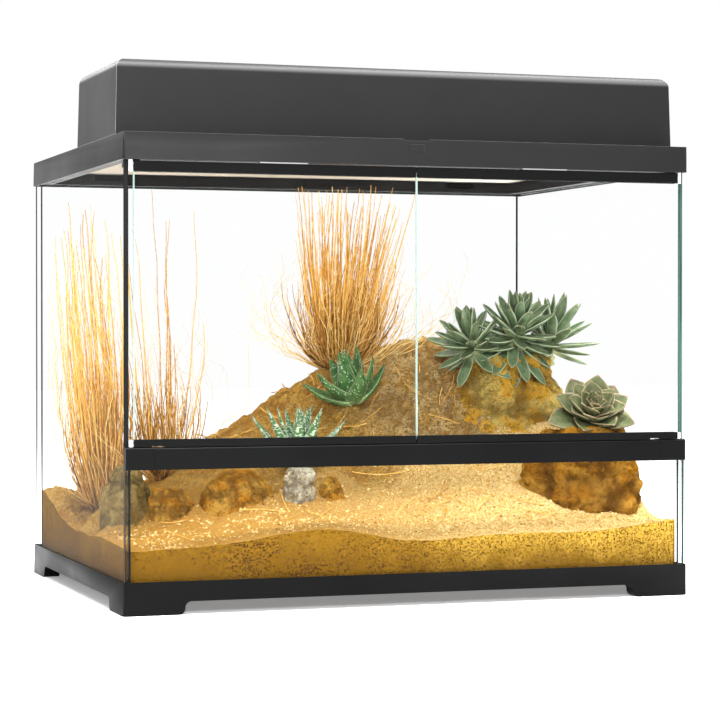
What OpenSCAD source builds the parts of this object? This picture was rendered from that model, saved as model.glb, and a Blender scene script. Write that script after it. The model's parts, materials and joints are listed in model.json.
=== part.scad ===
// Front-opening reptile terrarium with a sand landscape, a lift-out screen cover and a lighting hood.
// The front faces -Y, +X is to the right and the feet stand on z = 0. All sizes are in millimetres.

/* [Overall] */
// Width of the tank over its base frame
tank_w = 610; // [590:1:640]
// Depth of the tank over its base frame
tank_d = 460; // [450:1:480]
// Height of the tank, from the feet to the rim of the top frame
tank_h = 474; // [466:1:500]
// Radius of the frames' upright corners
corner_r = 5; // [3:0.5:7]

/* [Base frame] */
// Height of the base frame
base_h = 33; // [29:0.5:38]
// How far each face of the base frame leans in over its height
base_lean = 1.1; // [0.5:0.1:1.5]
// Height of the gap between the feet
foot_h = 13; // [9:0.5:14]
// Length of a foot along the front and the back, to the middle of its curve
foot_len_x = 62.5; // [50:0.5:90]
// Length of a foot along the sides, to the middle of its curve
foot_len_y = 63.5; // [50:0.5:80]
// Height of the shelf that carries the glass
shelf_z = 20; // [18:0.5:22]
// Thickness of the shelf between the feet
shelf_t = 3; // [2:0.5:3.5]
// Width of the shelf and of the feet
shelf_w = 18; // [14:0.5:24]
// Thickness of the base frame's skirt under the shelf
skirt_t = 3; // [2:0.5:4]

/* [Glass] */
// Thickness of every pane
glass_t = 5; // [4:0.5:5.5]
// Distance from the tank's side to the side pane
glass_inset_side = 2.4; // [2:0.1:3]
// Distance from the tank's front to the low front pane
glass_inset_front = 3; // [2.6:0.1:3.6]
// Distance from the tank's back to the back pane
glass_inset_back = 5; // [3:0.1:6]
// Clearance between a pane and the plastic around it
glass_fit = 0.3; // [0.2:0.05:0.5]
// Leg of the silicone beads in the upright corners
bead_leg = 4; // [3:0.5:5]

/* [Sill] */
// Height of the sill's underside
sill_z = 143; // [130:1:155]
// Height of the sill
sill_h = 22; // [20:0.5:26]
// Depth of the sill, front to back
sill_d = 16; // [14:0.5:20]
// Radius of the sill's upper front edge
sill_edge_r = 3; // [1:0.5:4]
// How far the low front pane reaches up into the sill
sill_grip = 7; // [4:0.5:8]
// Wall of the sill round its hollow
sill_wall = 2.5; // [2:0.25:3]
// Length of the sill's end caps
cap_l = 28.4; // [26:0.1:34]
// Distance from the tank's side to the end of a cap
cap_inset = 2.6; // [2.4:0.1:4]
// How much higher than the sill a cap is
cap_raise = 0.4; // [0.1:0.1:0.4]
// Length of the plug that a cap pushes into the sill
cap_plug_l = 9; // [6:0.5:14]
// Clearance between the plug and the sill's hollow
cap_plug_fit = 0.1; // [0.05:0.05:0.2]

/* [Doors] */
// Gap between the two doors where they meet
door_gap = 1.2; // [0.8:0.1:2]
// Gap between the sill and the doors' bottom rails
door_foot_gap = 0.3; // [0.2:0.05:0.4]
// Gap between the front ledge and the doors' top rails
door_head_gap = 1.2; // [1.1:0.1:2]
// Height of a bottom rail
bottom_rail_h = 7.5; // [7:0.5:9]
// Height of a top rail
top_rail_h = 10.6; // [10:0.1:13]
// Depth of a rail, front to back
rail_d = 9.4; // [9:0.1:10]
// Distance from the tank's front to the face of the rails
rail_inset = 0.8; // [0.5:0.1:1]
// Distance from the tank's side to the outer end of a rail
rail_end_inset = 11.2; // [11:0.1:12]
// Web left above the glass in a top rail and below it in a bottom rail
top_web = 5.6; // [5.2:0.1:6.5]
bottom_web = 3.9; // [3.7:0.1:4.5]
// Clearance of the door glass at its ends
door_glass_end = 0.4; // [0.2:0.1:0.8]
// Radius of the lower outer corner of a bottom rail
rail_corner_r = 1.6; // [0.5:0.1:1.8]
// Relief under a bottom rail: its height and its two distances from the tank's side
relief_h = 1.1; // [0.5:0.1:1.2]
relief_far = 43; // [38:1:60]
relief_near = 29; // [27:1:33]
// Distance from the tank's side and front to the hinge axis
hinge_side = 8.7; // [8.5:0.1:9]
hinge_front = 4; // [3.9:0.1:4.2]
// Radius of a hinge pin
pin_r = 1.5; // [1:0.1:1.5]
// Length of a hinge pin in its bore
pin_l = 5; // [3:0.5:5]
// Running clearance round a hinge pin
pin_fit = 0.05; // [0.03:0.01:0.08]
// Radius of the collar at a hinge pin's foot
collar_r = 2.3; // [2.2:0.1:2.4]
// Gap at the end of a collar
collar_gap = 0.3; // [0.2:0.1:0.4]
// Length, depth and height of the tongue that holds a pivot in its rail
tongue_l = 12; // [8:1:20]
tongue_d = 5; // [4:0.5:6]
tongue_h = 2.2; // [1.8:0.1:2.4]
// Clearance of a tongue in its pocket
tongue_fit = 0.1; // [0.05:0.05:0.2]

/* [Magnets and keepers] */
// Distance from the tank's middle to the middle of a keeper plate
keeper_x = 141; // [90:1:200]
// Length, depth and thickness of a keeper plate
keeper_l = 50; // [30:1:60]
keeper_d = 7; // [5:0.5:8]
keeper_t = 1; // [0.5:0.1:1]
// Length, depth and height of a door magnet
magnet_l = 14; // [8:1:20]
magnet_d = 6; // [4:0.5:7]
magnet_h = 3; // [2:0.5:4]

/* [Top frame] */
// Height of the apron round the top
apron_h = 27; // [26:0.5:30]
// How far the apron's faces lean in over its height
apron_lean = 1; // [0.5:0.1:1.5]
// Thickness of the apron at its rim
rim_t = 2; // [1.5:0.1:2.2]
// Thickness of the rear wall at its rim
rear_rim_t = 7.5; // [7:0.1:8]
// Height of the side ledges' underside above the apron's lower edge
ledge_lift = 2; // [1:0.5:3]
// Thickness of the side ledges
ledge_t = 3; // [2:0.5:4]
// Width of the ledges at the sides
ledge_w_side = 20; // [18:0.5:24]
// Width of the ledges at the front and the back
ledge_w_end = 18; // [17:0.5:22]
// Height of the inner ring that the screen cover rests on, above the ledges
ring_h = 10; // [10:0.5:11]
// Thickness of the inner ring
ring_t = 2; // [1.5:0.1:3]
// Length, width and height of the door stops under the ledges
stop_l = 28; // [15:1:40]
stop_w = 12; // [6:0.5:12]
stop_h = 8; // [5:0.5:10]
// Gap between a closed door and its stop
stop_gap = 1.8; // [0.5:0.1:2.5]
// Width and depth of the finger notch in the front rim
notch_w = 28.6; // [24:0.2:40]
notch_h = 1.5; // [1:0.1:3]

/* [Cover button] */
// Width and height of the button
button_w = 15.5; // [12:0.5:18]
button_h = 8; // [6:0.5:8]
// Distance of the button's middle below the rim
button_drop = 9.4; // [9:0.1:10]
// How far the button stands out of the apron at its middle
button_proud = 0.5; // [0.2:0.1:0.6]
// Travel of the button
button_travel = 2.5; // [1.5:0.1:2.8]
// Clearance round the button
button_fit = 0.2; // [0.1:0.05:0.3]
// Flange that keeps the button in: its width all round and its thickness
flange_w = 1.5; // [1:0.1:1.6]
flange_t = 1.2; // [1:0.1:1.5]
// Gap between the flange and the apron at rest
flange_gap = 0.2; // [0.1:0.05:0.4]
// Wall of the housing behind the button
housing_t = 1.5; // [1.2:0.1:2]
// Radius of the spring's wire and of its coil, its pressed length and its turns
wire_r = 0.35; // [0.25:0.05:0.45]
coil_r = 3; // [2.6:0.1:3.1]
spring_l = 5.5; // [5:0.1:6]
spring_turns = 5; // [3:1:6]

/* [Cable inlets] */
// Distance from the tank's side to the middle of an inlet
inlet_side = 87; // [80:1:110]
// Width and height of an inlet
inlet_w = 36; // [24:1:40]
inlet_h = 8; // [6:0.5:8]
// Height of an inlet's lower edge above the ledges
inlet_lift = 1.6; // [1.5:0.1:2]
// Overlap of a gate over its inlet, at the ends and above and below
gate_lap_x = 4; // [3:0.5:6]
gate_lap_z = 1.8; // [1:0.1:2]
// Thickness of a gate
gate_t = 1.8; // [1.4:0.1:1.8]
// Clearance of a gate in its slot
gate_fit = 0.1; // [0.08:0.01:0.15]
// Distance from the rear rim's inner face to the gate's slot
gate_depth = 4.5; // [4:0.1:4.7]
// Width and height of the grip on a gate
grip_w = 6; // [4:0.5:10]
grip_h = 5; // [3:0.5:5]

/* [Screen cover] */
// Gap between the cover and the top frame's walls
cover_gap = 0.6; // [0.4:0.1:1]
// Thickness of the cover's plate
plate_t = 3; // [2.5:0.5:4]
// Width of the plate at the sides and at the ends
plate_w_side = 20.4; // [18:0.2:24]
plate_w_end = 18.4; // [15:0.2:22]
// Height and thickness of the cover's raised edge
lip_h = 5; // [3:0.5:5]
lip_t = 2; // [1.5:0.1:3]
// Gap between the cover and the button's housing
cover_notch_gap = 2; // [1:0.1:3]
// Thickness of the mesh and the width of its bars
mesh_t = 0.8; // [0.6:0.1:1]
mesh_bar = 1; // [0.8:0.1:1.4]
// How far the mesh reaches under the plate
mesh_lap = 2; // [1.5:0.1:3]
// Number of gaps in the mesh, across and front to back
mesh_nx = 22; // [12:1:23]
mesh_ny = 13; // [8:1:13]

/* [Hood] */
// Height of the hood
hood_h = 75.8; // [70:0.1:90]
// Depth of the hood
hood_d = 179.9; // [170:0.1:190]
// Distance from the tank's front to the hood
hood_front = 38.3; // [36:0.1:44]
// Distance from the tank's side to the hood's side
hood_side = 1.2; // [1:0.1:1.2]
// Gap between the hood and the tank's rim
hood_gap = 0.2; // [0.1:0.05:0.3]
// How far the hood's faces lean in over its height, at the sides and at the ends
hood_lean_side = 2; // [1:0.1:3]
hood_lean_end = 1.4; // [0.5:0.1:2]
// Radius of the hood's upper edges
hood_edge_r = 10; // [6:0.5:12]
// Wall of the hood
hood_t = 2.5; // [2:0.1:3]
// Length, width and height of the pads that carry the hood on the cover
pad_l = 20; // [10:1:30]
pad_w = 9; // [6:0.5:12]
pad_h = 8; // [5:0.5:12]
// Gap between a pad and the cover's raised edge, and between a pad and the hood's wall
pad_gap = 0.5; // [0.3:0.1:1]
pad_fit = 0.2; // [0.1:0.05:0.4]
// Distance from the hood's ends to its pads
pad_end = 16; // [12:1:40]
// Rows, columns, width and height of the vents in the hood's rear wall
vent_rows = 4; // [1:1:4]
vent_cols = 8; // [2:1:9]
vent_w = 20; // [10:1:22]
vent_h = 2.5; // [1.5:0.1:4]
// Pitch of the vents, along and up
vent_pitch_x = 26; // [25:1:30]
vent_pitch_z = 7; // [6:0.5:8]
// Height of the lowest vents above the hood's lower edge
vent_z = 36; // [30:1:40]

/* [Lamps] */
// Number of lamps and the distance between two of them
lamp_count = 3; // [1:1:3]
lamp_pitch = 150; // [100:1:180]
// Height of the lamps above the hood's lower edge
lamp_z = 38; // [36:0.5:40]
// Radius and length of a lamp holder
holder_r = 17; // [16:0.5:18]
holder_l = 26; // [22:1:30]
// Radius and thickness of a holder's foot
holder_foot_r = 20; // [19:0.5:22]
holder_foot_t = 3; // [2:0.5:4]
// Radius of a lamp's cap and the clearance round it in the holder
lamp_cap_r = 13; // [12:0.5:13.5]
lamp_cap_fit = 0.3; // [0.2:0.1:0.5]
// Length of a lamp's cap and of its whole body in front of the holder
lamp_cap_l = 18; // [12:1:20]
lamp_l = 112; // [90:1:118]
// Radius of a lamp's collar and of its bulb
lamp_collar_r = 22; // [18:0.5:23]
lamp_bulb_r = 20; // [16:0.5:22]
// Thickness of the reflector sheet and its height above the hood's lower edge
reflector_t = 1; // [0.8:0.1:1.5]
reflector_z = 66; // [62:0.5:68]
// Height of the reflector's sloping sides and how far they spread
reflector_side_h = 40; // [20:1:44]
reflector_spread = 12; // [6:0.5:14]
// Distance from the tank's side to the top of the reflector's slope
reflector_side = 21; // [18:1:40]
// Radius of the screw bosses, the screws' shafts and heads, and the clearance round a shaft
boss_r = 4; // [3:0.5:6]
screw_r = 1.5; // [1:0.1:2]
screw_head_r = 3; // [2.5:0.1:3.5]
screw_head_t = 1.6; // [1:0.1:2]
screw_fit = 0.1; // [0.05:0.05:0.2]
// Depth of the screws in their bosses
screw_grip = 5; // [4:0.5:6]
// Distance from the tank's side to the screws
screw_side = 60; // [45:1:90]

/* [Switch and cable] */
// Distance from the tank's side to the switch and to the cable gland
switch_side = 60; // [50:1:100]
gland_side = 60; // [45:1:100]
// Height of both above the hood's lower edge
rear_fit_z = 30; // [24:1:36]
// Width and height of the switch's body, and its depth behind the wall
switch_w = 21; // [18:0.5:24]
switch_h = 15; // [13:0.5:18]
switch_deep = 13; // [12:0.5:20]
// Width and thickness of the switch's rim
switch_rim = 2; // [1:0.5:3]
switch_rim_t = 1.5; // [1:0.1:2]
// Wall of the switch's body
switch_wall = 2; // [1.5:0.1:2.5]
// Clearance of the rocker in the switch's body
rocker_fit = 0.2; // [0.1:0.05:0.3]
// Radius of the rocker's drum and of its pivot pins
rocker_r = 5.2; // [4:0.1:5.3]
rocker_pin_r = 1; // [0.8:0.1:1.2]
// Tilt of the rocker at rest
rocker_tilt = 7; // [4:0.5:8]
// Radius of the cable bore in the gland
cable_r = 3.5; // [2.5:0.1:4]
// Radius of the gland's neck, flange and nut
neck_r = 6; // [5.5:0.1:7]
gland_flange_r = 9; // [8:0.5:11]
gland_nut_r = 8.5; // [8:0.5:10]
// Thickness of the gland's flange and nut, and the length of its tail
gland_flange_t = 2.5; // [1.5:0.5:4]
gland_nut_t = 4; // [2:0.5:6]
gland_tail_l = 10; // [5:1:20]

/* [Landscape] */
// Clearance between the landscape and the glass
bed_fit = 0.3; // [0.2:0.1:1]
// Number of cells of the sand bed's surface, across and front to back
bed_nx = 28; // [12:1:34]
bed_ny = 22; // [12:1:28]
// Height of the ripples on the sand
ripple = 1.2; // [0:0.1:3]
// Clearance between the sand and what is bedded in it
seat_gap = 0.3; // [0.2:0.1:0.5]
// How deep the plants' root plugs reach into the sand
root_depth = 14; // [8:1:20]
// Number of corners round a rock and of layers in it
rock_sides = 13; // [8:1:18]
rock_layers = 8; // [8:1:12]
// Number of stalks in the left, middle and centre grass tufts
left_stalks = 36; // [10:1:44]
middle_stalks = 28; // [10:1:36]
centre_stalks = 44; // [10:1:54]
// Number of leaves on the two agaves, the echeveria and the two aloes
agave_leaves = 26; // [10:1:32]
pup_leaves = 12; // [6:1:16]
echeveria_leaves = 22; // [10:1:28]
banded_leaves = 12; // [6:1:16]
green_leaves = 16; // [6:1:20]

/* [Hidden] */
$fn = 48;

black = "#242527";
charcoal = "#3c3e41";
clear_glass = [0.75, 0.9, 0.86, 0.3];
sand_colour = "#c9a872";
stone_colour = "#8a6238";
straw_colour = "#cdb06a";

// Half sizes and the planes of the glass
half_w = tank_w / 2;
half_d = tank_d / 2;
glass_x = half_w - glass_inset_side;
in_x = glass_x - glass_t;
front_y = -half_d + glass_inset_front;
in_front = front_y + glass_t;
back_y = half_d - glass_inset_back;
in_back = back_y - glass_t;
floor_z = shelf_z + glass_t;

// Planes of the sill and the doors
sill_top = sill_z + sill_h;
sill_end = half_w - cap_inset - cap_l;
cap_end = half_w - cap_inset;
cap_top = sill_top + cap_raise;
sill_back = -half_d + sill_d;
rail_front = -half_d + rail_inset;
rail_back = rail_front + rail_d;
rail_in = door_gap / 2;
rail_out = half_w - rail_end_inset;
bottom_rail_z = sill_top + door_foot_gap;
top_rail_top = tank_h - apron_h - door_head_gap;
top_rail_z = top_rail_top - top_rail_h;
hinge_x = half_w - hinge_side;
hinge_y = -half_d + hinge_front;
bore_r = pin_r + pin_fit;

// Planes of the top frame
apron_z = tank_h - apron_h;
ledge_z = apron_z + ledge_lift;
ledge_top = ledge_z + ledge_t;
rim_x = half_w - apron_lean - rim_t;
rim_front = -half_d + apron_lean + rim_t;
rim_back = half_d - apron_lean - rear_rim_t;
window_x = half_w - ledge_w_side;
window_y = half_d - ledge_w_end;
seat_z = ledge_top + ring_h;

// Planes of the button
button_z = tank_h - button_drop;
button_face = -half_d + apron_lean * (1 - button_drop / apron_h) - button_proud;
flange_y = rim_front + flange_gap;
spring_seat = -window_y - ring_t - housing_t + 0.5;
spring_tip = spring_seat - spring_l;
button_back = spring_seat - button_travel - 2;
button_bore_end = spring_tip - button_travel - 0.6;
button_bore_r = coil_r + wire_r + 0.4;
pocket_x = button_w / 2 + flange_w + button_fit;
pocket_z = button_h / 2 + flange_w + button_fit;
housing_x = pocket_x + housing_t;

// Planes of the cable inlets and gates
inlet_x = half_w - inlet_side;
inlet_z = ledge_top + inlet_lift;
gate_l = inlet_w + 2 * gate_lap_x;
gate_open_x = inlet_x - inlet_w - gate_lap_x;
gate_y = rim_back + gate_depth;
gate_h = inlet_h + 2 * gate_lap_z;
gate_z = inlet_z + inlet_h / 2;

// Planes of the screen cover
cover_x = rim_x - cover_gap;
cover_front = rim_front + cover_gap;
cover_back = rim_back - cover_gap;
plate_top = seat_z + plate_t;
mesh_x = cover_x - plate_w_side + mesh_lap;
mesh_front = cover_front + plate_w_end - mesh_lap;
mesh_back = cover_back - plate_w_end + mesh_lap;

// Planes of the hood
hood_z = tank_h + hood_gap;
hood_x = half_w - hood_side;
hood_y = -half_d + hood_front + hood_d / 2;
hood_back = hood_y + hood_d / 2;
pad_x = cover_x - lip_t - pad_gap;
screw_x = half_w - screw_side;
screw_y = hood_d / 4;
holder_y = hood_back - hood_t - hood_lean_end;
lamp_y = holder_y - holder_foot_t - holder_l;
switch_x = half_w - switch_side;
gland_x = -half_w + gland_side;
rear_fit_y = hood_back - hood_lean_end * rear_fit_z / hood_h;
rear_z = hood_z + rear_fit_z;
pivot_y = rear_fit_y - 1.6;

// ---- Helpers ----

module block(a, b) {
    translate(a) cube(b - a);
}

module both_sides() {
    children();
    mirror([1, 0, 0]) children();
}

// Extrude a profile drawn in X and Z along Y
module along_y(y0, y1) {
    translate([0, y1, 0]) rotate([90, 0, 0]) linear_extrude(y1 - y0) children();
}

// Extrude a profile drawn in Y and Z along X
module along_x(x0, x1) {
    translate([x0, 0, 0]) rotate([90, 0, 90]) linear_extrude(x1 - x0) children();
}

module rounded_rect(hx, hy, r) {
    square([2 * hx, 2 * (hy - r)], center = true);
    square([2 * (hx - r), 2 * hy], center = true);
    for (sx = [-1, 1], sy = [-1, 1]) translate([sx * (hx - r), sy * (hy - r)]) circle(r);
}

module leaning_profile(half, h, lean) {
    polygon([[-half, 0], [half, 0], [half - lean, h], [-half + lean, h]]);
}

// Box whose four sides lean in, with rounded upright corners
module leaning_block(hx, hy, h, lean, r) {
    intersection() {
        along_y(-hy - 1, hy + 1) leaning_profile(hx, h, lean);
        along_x(-hx - 1, hx + 1) leaning_profile(hy, h, lean);
        linear_extrude(h) rounded_rect(hx + 0.2, hy + 0.2, r);
    }
}

// Leaning profile with rounded upper corners
module hood_profile(half, h, lean, r) {
    cx = half - lean * (h - r) / h - r;
    difference() {
        leaning_profile(half, h, lean);
        for (s = [-1, 1]) translate([s * cx, h - r]) difference() {
            translate([s > 0 ? 0 : -r - 2, 0]) square([r + 2, r + 1]);
            circle(r);
        }
    }
}

// Closed skin over a row of rings with the same number of points; each end closes on its middle
function middle(ring) = [for (k = [0:2]) [for (p = ring) p[k]] * [for (p = ring) 1] / len(ring)];

module loft(rings) {
    n = len(rings[0]);
    m = len(rings);
    first = m * n;
    points = concat([for (r = rings) each r], [middle(rings[0]), middle(rings[m - 1])]);
    sides = [for (i = [0:m - 2], j = [0:n - 1])
        let (a = i * n + j, b = i * n + (j + 1) % n)
            each [[a, a + n, b + n], [a, b + n, b]]];
    ends = [for (j = [0:n - 1])
        let (k = (j + 1) % n)
            each [[first, j, k], [first + 1, first - n + k, first - n + j]]];
    polyhedron(points, concat(sides, ends));
}

// ---- Base frame ----

// Outline of the gap between two feet, with an S-shaped end on each side
module foot_gap(half_len) {
    r = foot_h / 2;
    translate([-half_len + r, -1]) square([2 * (half_len - r), foot_h + 1]);
    translate([-half_len, -1]) square([2 * half_len, foot_h - r + 1]);
    for (s = [-1, 1]) {
        translate([s * (half_len - r), foot_h - r]) circle(r);
        difference() {
            translate([s * (half_len + r / 2) - r / 2, -1]) square([r, r + 1]);
            translate([s * (half_len + r), r]) circle(r);
        }
    }
}

module base_frame() {
    gap_x = half_w - foot_len_x;
    gap_y = half_d - foot_len_y;
    color(black) difference() {
        leaning_block(half_w, half_d, base_h, base_lean, corner_r);
        block([-glass_x - glass_fit, front_y - glass_fit, shelf_z],
              [glass_x + glass_fit, back_y + glass_fit, base_h + 1]);
        block([-half_w + shelf_w, -half_d + shelf_w, -1], [half_w - shelf_w, half_d - shelf_w, base_h]);
        for (s = [-1, 1]) {
            along_y(s * half_d - shelf_w - 1, s * half_d + shelf_w + 1) foot_gap(gap_x);
            along_x(s * half_w - shelf_w - 1, s * half_w + shelf_w + 1) foot_gap(gap_y);
        }
        under_shelf(gap_x - foot_h, half_d - skirt_t);
        rotate([0, 0, 90]) under_shelf(gap_y - foot_h, half_w - skirt_t);
    }
}

// Hollow behind the skirt, between the feet
module under_shelf(half_len, far) {
    for (s = [0, 180]) rotate([0, 0, s])
        block([-half_len, far - shelf_w, -1], [half_len, far, shelf_z - shelf_t]);
}

// ---- Glass box ----

module floor_glass() {
    color(clear_glass) block([-in_x, in_front, shelf_z], [in_x, in_back, floor_z]);
}

module side_glass() {
    color(clear_glass) block([in_x, in_front, shelf_z], [glass_x, in_back, ledge_z]);
}

module left_glass() {
    mirror([1, 0, 0]) side_glass();
}

module right_glass() {
    side_glass();
}

module back_glass() {
    color(clear_glass) block([-glass_x, in_back, shelf_z], [glass_x, back_y, ledge_z]);
}

module front_glass() {
    color(clear_glass) block([-glass_x, front_y, shelf_z], [glass_x, in_front, sill_z + sill_grip]);
}

// Three-cornered bead in an upright corner of the glass box
module corner_bead(y, toward, top) {
    color("#101010") both_sides() translate([0, 0, floor_z]) linear_extrude(top - floor_z)
        polygon([[in_x, y], [in_x - bead_leg, y], [in_x, y + toward * bead_leg]]);
}

module front_corner_beads() {
    corner_bead(in_front, 1, sill_z);
}

module back_corner_beads() {
    corner_bead(in_back, -1, ledge_z);
}

// ---- Sill ----

// Section of the sill without its hollow, with a channel for the low front pane
module sill_section(top) {
    r = sill_edge_r;
    difference() {
        translate([-half_d, sill_z]) square([sill_d, top - sill_z]);
        translate([-half_d + r, top - r]) difference() {
            translate([-r - 1, 0]) square([r + 1, r + 1]);
            circle(r);
        }
        translate([front_y - glass_fit, sill_z - 1])
            square([glass_t + 2 * glass_fit, sill_grip + glass_fit + 1]);
    }
}

// Section of the sill's hollow, made smaller all round by gap
module sill_hollow(gap) {
    z0 = sill_z + sill_grip + sill_wall;
    translate([-half_d + sill_wall + gap, z0 + gap])
        square([sill_d - 2 * sill_wall - 2 * gap, sill_top - sill_wall - z0 - 2 * gap]);
}

module front_sill() {
    color(black) along_x(-sill_end, sill_end) difference() {
        sill_section(sill_top);
        sill_hollow(0);
    }
}

module sill_cap() {
    color(black) difference() {
        union() {
            along_x(sill_end, cap_end) sill_section(cap_top);
            along_x(sill_end - cap_plug_l, sill_end + 1) sill_hollow(cap_plug_fit);
        }
        block([in_x - glass_fit, in_front - glass_fit, sill_z - 1], [half_w, 0, cap_top + 1]);
        hinge_bore(cap_top - collar_gap - pin_l, cap_top + 1);
    }
}

module left_sill_cap() {
    mirror([1, 0, 0]) sill_cap();
}

module right_sill_cap() {
    sill_cap();
}

module hinge_bore(z0, z1) {
    translate([hinge_x, hinge_y, z0]) cylinder(h = z1 - z0, r = bore_r);
}

// ---- Doors (the right one; the left one is its mirror image) ----

module door_glass() {
    color(clear_glass) block([rail_in + door_glass_end, front_y, bottom_rail_z + bottom_web],
                             [rail_out - door_glass_end, in_front, top_rail_top - top_web]);
}

// Room for the glass in a rail
module glass_slot(z0, z1) {
    block([-1, front_y - glass_fit / 3, z0], [half_w, in_front + glass_fit / 3, z1]);
}

// Room for a pivot's tongue, or the tongue itself, in the outer end of a rail
module tongue(z, gap) {
    y = (front_y + in_front) / 2;
    block([rail_out - tongue_l - gap, y - tongue_d / 2 - gap, z - tongue_h / 2 - gap],
          [rail_out + (gap > 0 ? 1 : rail_end_inset - hinge_side), y + tongue_d / 2 + gap,
           z + tongue_h / 2 + gap]);
}

upper_tongue_z = top_rail_top - top_web / 2;
lower_tongue_z = bottom_rail_z + bottom_web - tongue_h / 2 - 0.5;

module top_rail() {
    color(black) difference() {
        block([rail_in, rail_front, top_rail_z], [rail_out, rail_back, top_rail_top]);
        glass_slot(top_rail_z - 1, top_rail_top - top_web);
        tongue(upper_tongue_z, tongue_fit);
        magnet_block(tongue_fit);
    }
}

module bottom_rail() {
    r = rail_corner_r;
    color(black) difference() {
        block([rail_in, rail_front, bottom_rail_z], [rail_out, rail_back, bottom_rail_z + bottom_rail_h]);
        glass_slot(bottom_rail_z + bottom_web, bottom_rail_z + bottom_rail_h + 1);
        tongue(lower_tongue_z, tongue_fit);
        // underside steps up over the cap, and a relief shows a bright slit beside it
        block([sill_end - 2, rail_front - 1, bottom_rail_z - 1], [half_w, rail_back + 1, bottom_rail_z + cap_raise]);
        block([half_w - relief_far, rail_front - 1, bottom_rail_z - 1],
              [half_w - relief_near, rail_back + 1, bottom_rail_z + relief_h]);
        along_y(rail_front - 1, rail_back + 1) translate([rail_out - r, bottom_rail_z + cap_raise + r])
            difference() {
                translate([0, -r - 1]) square([r + 1, r + 1]);
                circle(r);
            }
    }
}

// Collar and pin at the hinge axis, with the tongue that holds them in the rail
module pivot(tongue_z, collar_z0, collar_z1, pin_z0, pin_z1) {
    color("#c9cbc8") {
        tongue(tongue_z, 0);
        translate([hinge_x, hinge_y, collar_z0]) cylinder(h = collar_z1 - collar_z0, r = collar_r);
        translate([hinge_x, hinge_y, pin_z0]) cylinder(h = pin_z1 - pin_z0, r = pin_r);
    }
}

module upper_pivot() {
    collar_top = apron_z - collar_gap;
    pivot(upper_tongue_z, top_rail_z, collar_top, top_rail_z, apron_z + pin_l - collar_gap);
}

module lower_pivot() {
    collar_foot = cap_top + collar_gap;
    pivot(lower_tongue_z, collar_foot, bottom_rail_z + bottom_rail_h - 0.5, cap_top - pin_l,
          bottom_rail_z + bottom_rail_h - 0.5);
}

module magnet_block(gap) {
    y = (front_y + in_front) / 2;
    block([keeper_x - magnet_l / 2 - gap, y - magnet_d / 2 - gap, top_rail_top - magnet_h - gap],
          [keeper_x + magnet_l / 2 + gap, y + magnet_d / 2 + gap, top_rail_top + (gap > 0 ? 1 : 0)]);
}

module magnet() {
    color("silver") magnet_block(0);
}

module left_door_glass() {
    mirror([1, 0, 0]) door_glass();
}

module left_top_rail() {
    mirror([1, 0, 0]) top_rail();
}

module left_bottom_rail() {
    mirror([1, 0, 0]) bottom_rail();
}

module left_upper_pivot() {
    mirror([1, 0, 0]) upper_pivot();
}

module left_lower_pivot() {
    mirror([1, 0, 0]) lower_pivot();
}

module left_magnet() {
    mirror([1, 0, 0]) magnet();
}

module keeper_plates() {
    color("silver") both_sides() block([keeper_x - keeper_l / 2, rail_front - 0.4, apron_z - keeper_t],
                                       [keeper_x + keeper_l / 2, rail_front - 0.4 + keeper_d, apron_z]);
}

// ---- Top frame ----

module top_frame() {
    color(charcoal) difference() {
        union() {
            difference() {
                translate([0, 0, apron_z]) leaning_block(half_w, half_d, apron_h, apron_lean, corner_r);
                block([-rim_x, rim_front, ledge_top], [rim_x, rim_back, tank_h + 1]);
                glass_pocket();
            }
            inner_ring();
            button_housing();
            both_sides() door_stop();
        }
        block([-window_x, -window_y, apron_z - 1], [window_x, window_y, tank_h]);
        block([-notch_w / 2, -half_d - 1, tank_h - notch_h], [notch_w / 2, rim_front + 1, tank_h + 1]);
        button_room();
        both_sides() hinge_bore(apron_z - 1, apron_z + pin_l);
        both_sides() inlet();
    }
}

// Room under the ledges for the glass box; only the side panes reach into the front ledge
module glass_pocket() {
    x = glass_x + glass_fit;
    block([-x, -window_y, apron_z - 1], [x, back_y + glass_fit, ledge_z]);
    both_sides() block([in_x - glass_fit, in_front - glass_fit, apron_z - 1], [x, -window_y + 1, ledge_z]);
}

module inner_ring() {
    block([-window_x - ring_t, -window_y - ring_t, ledge_z], [window_x + ring_t, window_y + ring_t, seat_z]);
}

module door_stop() {
    y = rail_back + stop_gap;
    block([window_x, y, ledge_z - stop_h], [window_x + stop_w, y + stop_l, ledge_z + 1]);
}

module button_housing() {
    top = button_z + pocket_z + housing_t;
    block([-housing_x, rim_front - 0.1, ledge_z], [housing_x, -window_y - ring_t + 0.5, top]);
}

// Bore of the button and the room behind it, with a post left standing for the spring
module button_room() {
    bw = button_w / 2 + button_fit;
    bh = button_h / 2 + button_fit;
    block([-bw, -half_d - 1, button_z - bh], [bw, rim_front + 1, button_z + bh]);
    difference() {
        block([-pocket_x, rim_front, button_z - pocket_z], [pocket_x, spring_seat, button_z + pocket_z]);
        along_button(spring_seat - 3.5, spring_seat + 1, coil_r - wire_r - 0.5);
    }
}

module along_button(y0, y1, r) {
    translate([0, y1, button_z]) rotate([90, 0, 0]) cylinder(h = y1 - y0, r = r);
}

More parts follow.
